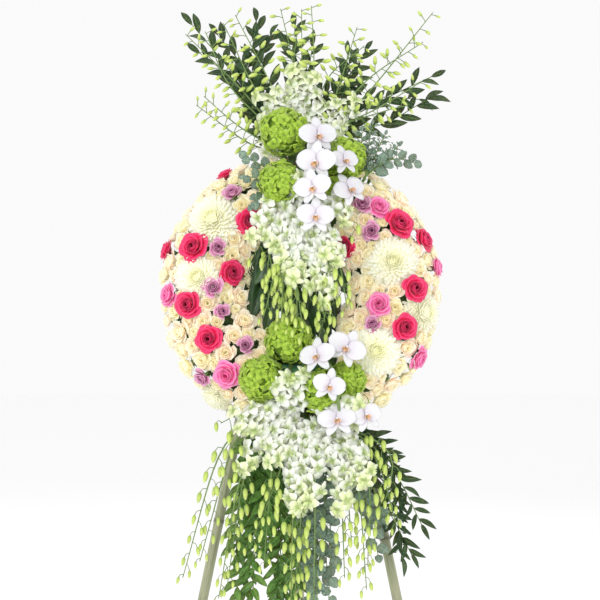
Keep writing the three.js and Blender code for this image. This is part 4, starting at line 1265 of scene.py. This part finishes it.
class WREATH_PG_colours(bpy.types.PropertyGroup):
    """Main colours of the flowers"""

    red_rose: bpy.props.FloatVectorProperty(
        name="Red rose",
        description="Middle of a red petal",
        subtype="COLOR",
        size=3,
        default=(0.86, 0.008, 0.095),
    )
    pink_rose: bpy.props.FloatVectorProperty(
        name="Pink rose",
        description="Middle of a pink petal",
        subtype="COLOR",
        size=3,
        default=(0.98, 0.13, 0.42),
    )
    cream_rose: bpy.props.FloatVectorProperty(
        name="Cream rose",
        description="Middle of a cream petal",
        subtype="COLOR",
        size=3,
        default=(0.98, 0.88, 0.49),
    )
    hydrangea: bpy.props.FloatVectorProperty(
        name="Hydrangea",
        description="Middle of a sepal",
        subtype="COLOR",
        size=3,
        default=(0.40, 0.62, 0.035),
    )


class WREATH_OT_stand(bpy.types.Operator):
    """Build the bamboo tripod with its lashing, ledge and bolts"""

    bl_idname = "wreath.stand"
    bl_label = "Bamboo tripod"

    def pole(self, node, top, down, length, joints):
        """A bamboo pole from its top end down, cut level at the floor."""
        profile = [(0, -END_CHAMFER, 0.6), (END_CHAMFER, -0.1, 0.5)]
        for joint in joints:
            profile += [(joint + offset, swell, dark) for offset, swell, dark in JOINT_PROFILE]
        profile.append((length, 0, 0))
        points = [top + down * at for at, _, _ in profile]
        radii = [POLE_RADIUS + swell for _, swell, _ in profile]
        layers = [dark for _, _, dark in profile]
        bunch = Bunch()
        bunch.stamp(rod(points, radii, 20, 0, layers), RING, chance=len(joints) / 9, keep=False)
        cut = bmesh.ops.bisect_plane(
            bunch.bm,
            geom=bunch.bm.verts[:] + bunch.bm.edges[:] + bunch.bm.faces[:],
            plane_co=(0, 0, 0),
            plane_no=(0, 0, -1),
            clear_outer=True,
        )["geom_cut"]
        rim = [edge for edge in cut if isinstance(edge, bmesh.types.BMEdge)]
        if rim:
            bmesh.ops.contextual_create(bunch.bm, geom=rim)
        bunch.finish(node, ["bamboo"], "bamboo", matrix=Matrix.Identity(4))

    def execute(self, context):
        for side, name in ((-1, "left"), (1, "right")):
            top = Vector((side * POLE_TOP_X, POLE_Y, POLE_TOP))
            down = Vector((side * POLE_SLOPE, 0, -1)).normalized()
            length = (RING_HEIGHT + POLE_TOP) * hypot(1, POLE_SLOPE) + PAST_FLOOR
            self.pole(f"easel_{name}_leg", top, down, length, LEG_JOINTS[name])
            self.bolt(side, name)
        down = Vector((0, sin(REAR_ANGLE), -cos(REAR_ANGLE)))
        self.pole("easel_rear_leg", REAR_TOP, down, REAR_LENGTH, REAR_JOINTS)
        self.ledge()
        self.lashing()
        return {"FINISHED"}

    def bolt(self, side, name):
        x = side * (POLE_TOP_X + POLE_SLOPE * (POLE_TOP - LEDGE_Z))
        front = LEDGE_Y - LEDGE_RADIUS
        rear = POLE_Y + POLE_RADIUS
        bunch = Bunch()
        # Depths, radii and sides of the shaft, the domed head, the washer and the nut
        for depths, radii, sides in (
            ((front - 1, rear + 5), 2.6, 12),
            ((front - 0.5, front - 2.2, front - 3.8, front - 5), [6.0, 5.7, 4.4, 1.6], 16),
            ((rear + 1, rear + 1.8), 6.0, 16),
            ((rear + 1.8, rear + 5.2), 5.2, 6),
        ):
            bunch.stalk([Vector((x, y, LEDGE_Z)) for y in depths], radii, sides, chance=0.5)
        bunch.finish(f"ledge_bolt_{name}", ["steel"], "steel")

    def ledge(self):
        end = LEDGE_HALF_LENGTH
        profile = [(-end, -END_CHAMFER), (-end + END_CHAMFER, 0)]
        for plain, joint in LEDGE_JOINTS:
            profile.append((plain, 0))
            profile += [(joint + offset, swell) for offset, swell in LEDGE_JOINT_PROFILE]
        profile += [(end - END_CHAMFER, 0), (end, -END_CHAMFER)]
        points = [Vector((x, LEDGE_Y, LEDGE_Z)) for x, _ in profile]
        radii = [LEDGE_RADIUS - 0.2 + swell * 0.3 for _, swell in profile]
        layers = [1 if swell > 0 else 0 for _, swell in profile]
        bunch = Bunch()
        bunch.stamp(rod(points, radii, 18, 0, layers), chance=0.8, keep=False)
        bunch.finish("easel_ledge", ["bamboo"], "bamboo")

    def lashing(self):
        """Twine wound round the heads of the poles, with its two ends hanging in front."""
        bunch = Bunch()
        loop = [*LASHING_HALF, *[(-x, y) for x, y in reversed(LASHING_HALF[1:-1])]]
        turns = [
            Vector((x, y, LASHING_BOTTOM + 2 * TWINE_RADIUS * (turn + i / len(loop))))
            for turn in range(LASHING_TURNS)
            for i, (x, y) in enumerate(loop)
        ]
        bunch.stalk(route(turns, 220), TWINE_RADIUS, 8, chance=0.5)
        for side in (-1, 1):
            tail = [(side * x, y, POLE_TOP - drop) for x, y, drop in LASHING_END]
            bunch.stalk(route(tail, 10), 1.4, chance=0.5)
        bunch.finish("easel_apex_lashing", ["twine"], "twine")


class WREATH_OT_foam(bpy.types.Operator):
    """Build the foam ring, its tray and the two blocks"""

    bl_idname = "wreath.foam"
    bl_label = "Foam ring and blocks"

    def ring(self, node, outline, look):
        piece = Bunch(spun(outline, 0, RING_STEPS, 3 * RING_STEPS)).finish(node, [look], look)
        piece.data.set_sharp_from_angle(angle=radians(25))

    def execute(self, context):
        half = FOAM_HALF_WIDTH
        shoulder = FOAM_FRONT - FOAM_CHAMFER
        foam = [(half, FOAM_BACK), (half, shoulder), (half - 8, shoulder + 14), (half - 30, FOAM_FRONT)]
        self.ring("foam_ring", mirrored(foam), "foam")
        tray = [(half, 0.6), (half, 4.0), (half - 1.5, 4.3), (-half + 1.5, 4.3), (-half, 4.0), (-half, 0.6)]
        tray += [(-half + 6, 0), (-half + 9, 1.6)]
        for x in (-34, -11, 12, 35):
            tray += [(x - 3, 1.6), (x - 2, 0.5), (x + 1, 0.5), (x + 2, 1.6)]
        tray += [(half - 9, 1.6), (half - 6, 0)]
        self.ring("ring_tray", tray, "tray")
        for node, side in (("top_foam_block", 1), ("bottom_foam_block", -1)):
            bm = new_mesh()
            bmesh.ops.create_cube(bm, size=1.0)
            size = (2 * BLOCK_HALF_WIDTH, BLOCK_FRONT - BLOCK_BACK, BLOCK_FAR - BLOCK_NEAR)
            bmesh.ops.scale(bm, verts=bm.verts[:], vec=size)
            middle = (0, -(BLOCK_FRONT + BLOCK_BACK) / 2, side * (BLOCK_FAR + BLOCK_NEAR) / 2)
            bmesh.ops.translate(bm, verts=bm.verts[:], vec=middle)
            bmesh.ops.bevel(
                bm, geom=bm.edges[:], offset=2.0, segments=2, profile=0.5, affect="EDGES", material=-1
            )
            Bunch(bm).finish(node, ["foam"], "foam")
        return {"FINISHED"}


class WREATH_OT_large_blooms(bpy.types.Operator):
    """Build the red and pink roses and the chrysanthemums, each as its own piece"""

    bl_idname = "wreath.large_blooms"
    bl_label = "Roses and chrysanthemums"

    def execute(self, context):
        draw = random.Random(8)
        # Table, shapes, finish, slot, size against the solid's, and how far it is raised
        kinds = (
            (RED_ROSES, "roses", "red", "red_petals", 1.12, 7),
            (PINK_ROSES, "roses", "pink", "pink_petals", 1.12, 7),
            (CHRYSANTHEMUMS, "mums", "mum", "chrysanthemum_petals", 1.02, 2),
        )
        for table, shapes, look, slot, grow, raised in kinds:
            for index, node, centre, normal, radius in blooms_of(table):
                bunch = Bunch()
                shape = TEMPLATES[shapes][index % len(TEMPLATES[shapes])]
                matrix = facing(centre + normal * raised, normal, index * 1.3, radius * grow)
                bunch.stamp(shape, matrix, draw.random())
                bunch.finish(node, [look, "stem"], slot)
        return {"FINISHED"}


class WREATH_OT_cover(bpy.types.Operator):
    """Build the base greenery round the foam, and the small roses that grow out of it"""

    bl_idname = "wreath.cover"
    bl_label = "Small roses and base greenery"

    def pad(self, low, high, seed):
        """The greenery pinned over the foam: a thick bent sheet with a rough face."""
        half = FOAM_HALF_WIDTH + COVER_THICKNESS - 3
        inner = FOAM_HALF_WIDTH + 1
        shoulder, front = FOAM_FRONT - FOAM_CHAMFER + 4, FOAM_FRONT + COVER_THICKNESS - 3
        outside = [(half, COVER_BACK), (half, shoulder), (half - 16, front - 14), (half - 38, front)]
        inside = [(inner - 31, FOAM_FRONT + 1), (inner, FOAM_FRONT - FOAM_CHAMFER), (inner, COVER_BACK)]
        outline = mirrored(outside) + [(-x, y) for x, y in reversed(inside)] + inside
        bm = spun(outline, low, high, round(6 * (high - low)))
        bm.normal_update()
        for vert in bm.verts:
            swell = noise.noise(vert.co / 14 + Vector((seed, 0, 0)))
            vert.co += vert.normal * (1.5 + 2.5 * swell)
        for face in bm.faces:
            face.material_index = COVER_LOOKS.index("moss")
        return template(bm, "pad")

    def execute(self, context):
        draw = random.Random(77)
        large = [row[1:4] for table in (RED_ROSES, PINK_ROSES, CHRYSANTHEMUMS) for row in table]
        heads = [(at[0], at[2], radius * 0.9) for parts in HYDRANGEAS.values() for at, radius, _ in parts]
        taken = [*large, *LAVENDER_ROSES, *heads, (*SEEDED_ROOT, 12)]
        cream = fill_wings(taken)
        extra = self.tucked([*taken, *cream], draw)
        for index, (node, low, high) in enumerate(SECTORS):
            bunch = Bunch()
            bunch.stamp(self.pad(low + 0.02, high - 0.02, index), keep=False)
            layers = ((cream, "cream", 2), (extra, "cream", -2), (LAVENDER_ROSES, "lavender", 15))
            for places, look, lift in layers:
                for u, v, radius in places:
                    if part_of(u, v) == node:
                        self.rose(bunch, u, v, radius, COVER_LOOKS.index(look), lift, draw)
            self.leaves(bunch, low, high, draw)
            bunch.finish(node, COVER_LOOKS, "dark_leaves" if "leaves" in node else "cream_petals")
        return {"FINISHED"}

    def tucked(self, taken, draw):
        """Smaller roses and buds pushed into the gaps."""
        spots = [(on_ring(u, v)[0], radius) for u, v, radius in taken]
        found = []
        for radius, tries, closeness in GAP_ROSES:
            for _ in range(tries):
                u, v = draw.uniform(-FILL_OUTER, FILL_OUTER), draw.uniform(-FILL_OUTER, FILL_OUTER)
                in_wing = u < FILL_LEFT + GAP_INWARD or u > FILL_RIGHT - GAP_INWARD
                on_foam = FILL_INNER <= hypot(u, v) <= FILL_OUTER + GAP_OUTWARD
                if not in_wing or not on_foam or abs(v) > FILL_TOP + GAP_UPWARD:
                    continue
                centre = on_ring(u, v)[0]
                if all((other - centre).length > closeness * (radius + size) for other, size in spots):
                    spots.append((centre, radius))
                    found.append((u, v, radius))
        return found

    def rose(self, bunch, u, v, radius, first_slot, lift, draw):
        """A small rose, or a tight one where it is smaller than any of the solids'."""
        centre, normal = on_ring(u, v)
        kind, grow = ("tight", 1.8) if radius < FILL[-1][0] else ("small", 1.36)
        shape = draw.choice(TEMPLATES[kind])
        heading = normal + jitter(draw, 0.12)
        seat = centre + normal * (lift + stand_off(u, v))
        matrix = facing(seat, heading, draw.uniform(0, 6), radius * grow)
        bunch.stamp(shape, matrix, draw.random(), first_slot=first_slot)

    def leaves(self, bunch, low, high, draw):
        """Leaves between the blooms and out past the rims."""
        for _ in range(int(COVER_LEAVES_A_STEP * (high - low))):
            angle = draw.uniform(low, high) * 2 * pi / RING_STEPS
            across = draw.uniform(-1, 1)
            reach = RING_MIDDLE + across * 78
            depth = 70 if abs(across) < 0.5 else 70 - 60 * (abs(across) - 0.5) * 2 * draw.uniform(0.1, 1)
            outward = Vector((cos(angle), 0, sin(angle)))
            sideways = Vector((-sin(angle), 0, cos(angle)))
            root = outward * reach + FRONT * depth
            normal = (outward * across * 0.8 + FRONT * (1 - 0.6 * abs(across))).normalized()
            direction = normal * draw.uniform(0.25, 0.7) + outward * across * 0.6
            direction += sideways * draw.uniform(-0.9, 0.9)
            length = draw.uniform(26, 40)
            scale = (length * 0.42, length, length)
            matrix = lying(root, direction, normal + sideways * 0.01, scale)
            slot = COVER_LOOKS.index("leaf")
            bunch.stamp(TEMPLATES["small leaf"], matrix, draw.random(), first_slot=slot)


class WREATH_OT_hydrangeas(bpy.types.Operator):
    """Build the hydrangea heads, floret by floret"""

    bl_idname = "wreath.hydrangeas"
    bl_label = "Hydrangeas"

    def execute(self, context):
        count = context.scene.wreath_shapes.hydrangea_florets
        draw = random.Random(5)
        for node, heads in HYDRANGEAS.items():
            bunch = Bunch()
            for at, radius, seat in heads:
                self.head(bunch, Vector(at), radius, Vector(seat), count, draw)
            bunch.finish(node, ["hydrangea", "stem"], "hydrangea_sepals")
        return {"FINISHED"}

    def head(self, bunch, centre, radius, seat, count, draw):
        """A head on its stalk: florets all over a core, but not round the stalk or inside the foam."""
        back = (seat - centre).normalized()
        bunch.stalk([centre, seat], 5.5, 8, 1)
        core = new_mesh()
        ball = bmesh.ops.create_icosphere(core, subdivisions=3, radius=radius * CORE_SHARE)["verts"]
        bmesh.ops.translate(core, verts=ball, vec=centre)
        place_all(core, ball, 0.1, 0.5, 0.05, 0)
        bunch.stamp(template(core, "core"), keep=False)
        for i in range(count):
            height = 1 - 2 * (i + 0.5) / count
            ring = sqrt(1 - height * height)
            out = Vector((ring * cos(i * GOLDEN_ANGLE), height, ring * sin(i * GOLDEN_ANGLE)))
            if out.dot(back) > STALK_NEARNESS:
                continue
            reach = radius * draw.uniform(0.88, 1.04)
            out = (out + jitter(draw, 0.22)).normalized()
            point = centre + out * reach
            if point.y > -IN_FOAM_DEPTH and hypot(point.x, point.z) > IN_FOAM_REACH:
                continue
            size = SEPAL_RADIUS * draw.uniform(0.85, 1.12)
            floret = draw.choice(TEMPLATES["florets"])
            tilt = out + jitter(draw, 0.42)
            bunch.stamp(floret, facing(point, tilt, draw.uniform(0, 6), size), draw.random())


class WREATH_OT_moth_orchids(bpy.types.Operator):
    """Build the two stems of moth orchids"""

    bl_idname = "wreath.moth_orchids"
    bl_label = "Moth orchids"

    def execute(self, context):
        stems = (
            ("upper_moth_orchids", UPPER_ORCHID_STEM, UPPER_ORCHIDS),
            ("lower_moth_orchids", LOWER_ORCHID_STEM, LOWER_ORCHIDS),
        )
        draw = random.Random(6)
        for node, points, flowers in stems:
            bunch = Bunch()
            line = route(points, 24)
            bunch.stalk(line, 3.0, 8, 2)
            for at, normal, size, roll in flowers:
                centre, out = Vector(at), Vector(normal).normalized()
                up = Vector((-sin(roll), 0, cos(roll)))
                grow = MOTH_RADIUS * size
                out = (out + jitter(draw, 0.22)).normalized()
                matrix = lying(centre, out, up, (grow, grow, grow))
                bunch.stamp(TEMPLATES["moth"], matrix, draw.random())
                nearest = min(line, key=lambda p: (p - centre).length)
                middle = (nearest + centre) / 2 - out * 8
                bunch.stalk(route((nearest, middle, centre), 8), 1.7, slot=2)
            bunch.finish(node, ["moth", "lip", "stem"], "moth_orchid_petals")
        return {"FINISHED"}


class WREATH_OT_dendrobium(bpy.types.Operator):
    """Build the sprays of dendrobium above, in and below the ring"""

    bl_idname = "wreath.dendrobium"
    bl_label = "Dendrobium sprays"

    def execute(self, context):
        # Node, sprays, flowers and buds a stem, where they start, how far flowers face out and buds hang,
        # and stems for each one in the table
        bunches = (
            ("top_dendrobium", TOP_SPRAYS, 18, 0.22, 0.75, 0.3, 2),
            ("middle_dendrobium", MIDDLE_SPRAYS, 14, 0.12, 0.9, 1.0, 3),
            ("bottom_dendrobium", BOTTOM_SPRAYS, 20, 0.10, 0.8, 1.0, 2),
        )
        draw = random.Random(9)
        for node, sprays, count, start, outward, hang, times in bunches:
            bunch = Bunch()
            for points, share in sprays:
                for turn in range(times):
                    path = loosened(points, draw, 44) if turn else points
                    opened = round(count * share * draw.uniform(0.7, 0.95))
                    orchid_spray(bunch, path, opened, count - opened, start, draw, outward, hang)
            for points in BLOCK_FANS.get(node, ()):
                orchid_spray(bunch, points, 6, 2, 0.3, draw, 1.0, 1.0)
            bunch.finish(node, ["dendrobium", "bud", "stem"], "dendrobium_petals")
        return {"FINISHED"}


class WREATH_OT_leaves(bpy.types.Operator):
    """Build the leafy stems and the broad leaves behind the sprays"""

    bl_idname = "wreath.leaves"
    bl_label = "Leafy stems"

    def execute(self, context):
        draw = random.Random(10)
        # Node, stems, leaves a stem with their length, width, start and spread, then shape, finish,
        # stems for each one in the table, and seed pods on those that are added
        groups = (
            ("top_leaves", TOP_STEMS, (15, 80, 25, 0.16, 0.7), "lance", "leaf", 3, 0),
            ("bottom_ruscus", RUSCUS_STEMS, (30, 66, 25, 0.08, 0.9), "lance", "ruscus", 3, 0),
            ("bottom_eucalyptus", EUCALYPTUS_STEMS, (20, 44, 38, 0.12, 1.2), "round", "eucalyptus", 3, 26),
            ("bottom_olive", OLIVE_STEMS, (26, 68, 19, 0.12, 0.9), "lance", "leaf", 2, 26),
        )
        for node, stems, sizes, shape, look, times, pods in groups:
            bunch = Bunch()
            for points in stems:
                for turn in range(times):
                    path = loosened(points, draw, 52) if turn else points
                    seeds = pods if turn else 0
                    leafy_stem(bunch, path, *sizes, TEMPLATES[shape], draw, seeds=seeds)
            bunch.finish(node, [look, "stem"], "dark_leaves" if look == "leaf" else look)
        self.centre(draw)
        self.seeded(draw)
        self.tucked(draw)
        return {"FINISHED"}

    def centre(self, draw):
        """Broad leaves over the ring's hole, on one stem."""
        bunch = Bunch()
        line = route(CENTRE_STEM, 10)
        bunch.stalk(line, 3.4, 8, 1)
        more = []
        for i in range(20):
            direction = (draw.uniform(-0.42, 0.62), draw.uniform(-0.1, 0.35), -1)
            more.append((direction, draw.uniform(180, 260), 60, 0.05 + 0.045 * i))
        for direction, length, width, along in CENTRE_LEAVES + HOLE_LEAVES + more:
            root = along_route(line, along)[0]
            scale = (width, length * 0.6, length)
            bunch.stamp(TEMPLATES["broad"], lying(root, direction, FRONT, scale), draw.random())
        bunch.finish("centre_leaves", ["leaf", "stem"], "dark_leaves")

    def seeded(self, draw):
        """Eucalyptus with small round leaves and strings of seed pods."""
        bunch = Bunch()
        centre, normal = on_ring(*SEEDED_ROOT)
        points = (centre - normal * 36, centre + normal * 26, (222, -130, 300), (276, -110, 296))
        leafy_stem(bunch, points, 10, 38, 28, 0.4, 1.2, TEMPLATES["round"], draw, 0.8, 34)
        for end in SEEDED_TIPS:
            bend = centre.lerp(Vector(end), 0.6) + FRONT * 8
            twig = (centre + normal * 10, centre + normal * 30, bend, end)
            leafy_stem(bunch, twig, 10, 24, 15, 0.25, 1.2, TEMPLATES["round"], draw, 0.8, 44)
        bunch.finish("seeded_eucalyptus", ["eucalyptus", "stem"], "eucalyptus")

    def tucked(self, draw):
        """Twigs that the solids don't have, beside the upper hydrangea."""
        bunch = Bunch()
        for points in TUCKED_TWIGS:
            leafy_stem(bunch, points, 6, 34, 28, 0.25, 1.1, TEMPLATES["round"], draw, 0.6, 4)
        bunch.finish("tucked_eucalyptus", ["eucalyptus", "stem"], "eucalyptus", nodes=[])


class WREATH_OT_stage(bpy.types.Operator):
    """Build the pale floor, the soft lights and the camera"""

    bl_idname = "wreath.stage"
    bl_label = "Floor, lights and camera"

    def execute(self, context):
        scene = context.scene
        bpy.ops.mesh.primitive_circle_add(
            vertices=96, radius=FLOOR_RADIUS, fill_type="NGON", location=(0, 0, -0.001)
        )
        floor = context.object
        floor.name = "studio-floor"
        paper = bpy.data.materials.new("studio-floor")
        paper.use_nodes = True
        shader = paper.node_tree.nodes["Principled BSDF"]
        shader.inputs["Base Color"].default_value = (0.99, 0.99, 0.99, 1)
        shader.inputs["Roughness"].default_value = 0.9
        floor.data.materials.append(paper)
        for name, at, size, power in LIGHTS:
            data = bpy.data.lights.new(name, "AREA")
            data.energy = power
            data.size = size
            light = bpy.data.objects.new(name, data)
            light.location = at
            light.rotation_euler = (LIGHTS_AIM - Vector(at)).to_track_quat("-Z", "Y").to_euler()
            scene.collection.objects.link(light)
        world = bpy.data.worlds.new("Studio")
        world.use_nodes = True
        sky = world.node_tree.nodes["Background"]
        sky.inputs["Color"].default_value = (1, 1, 1, 1)
        sky.inputs["Strength"].default_value = 0.96
        scene.world = world
        scene.view_settings.view_transform = "Standard"
        lens = bpy.data.cameras.new("front-camera")
        lens.angle = 2 * atan2(HALF_VIEW, CAMERA_DISTANCE)
        camera = bpy.data.objects.new("front-camera", lens)
        middle = (tray_low.x + tray_high.x) / 2
        camera.location = (middle, VIEW_PLANE - CAMERA_DISTANCE, CAMERA_HEIGHT)
        camera.rotation_euler = (pi / 2, 0, 0)
        scene.collection.objects.link(camera)
        scene.camera = camera
        return {"FINISHED"}


OPERATORS = (
    WREATH_OT_stand,
    WREATH_OT_foam,
    WREATH_OT_large_blooms,
    WREATH_OT_cover,
    WREATH_OT_hydrangeas,
    WREATH_OT_moth_orchids,
    WREATH_OT_dendrobium,
    WREATH_OT_leaves,
    WREATH_OT_stage,
)


class WREATH_PT_pieces(bpy.types.Panel):
    """Lists what can be built"""

    bl_idname = "WREATH_PT_pieces"
    bl_label = "Wreath"
    bl_space_type = "VIEW_3D"
    bl_region_type = "UI"
    bl_category = "Wreath"

    def draw(self, context):
        for group in (context.scene.wreath_shapes, context.scene.wreath_colours):
            box = self.layout.box()
            for key in group.__annotations__:
                box.prop(group, key)
        for operator in OPERATORS:
            self.layout.operator(operator.bl_idname)


CLASSES = (WREATH_PG_shapes, WREATH_PG_colours, *OPERATORS, WREATH_PT_pieces)


def register():
    for cls in CLASSES:
        bpy.utils.register_class(cls)
    bpy.types.Scene.wreath_shapes = bpy.props.PointerProperty(type=WREATH_PG_shapes)
    bpy.types.Scene.wreath_colours = bpy.props.PointerProperty(type=WREATH_PG_colours)


def unregister():
    del bpy.types.Scene.wreath_colours
    del bpy.types.Scene.wreath_shapes
    for cls in reversed(CLASSES):
        bpy.utils.unregister_class(cls)


def main():
    register()
    scene = bpy.context.scene
    make_finishes(scene.wreath_colours)
    make_templates(scene.wreath_shapes)
    for operator in OPERATORS:
        category, name = operator.bl_idname.split(".")
        getattr(getattr(bpy.ops, category), name)()


if __name__ == "__main__":
    main()
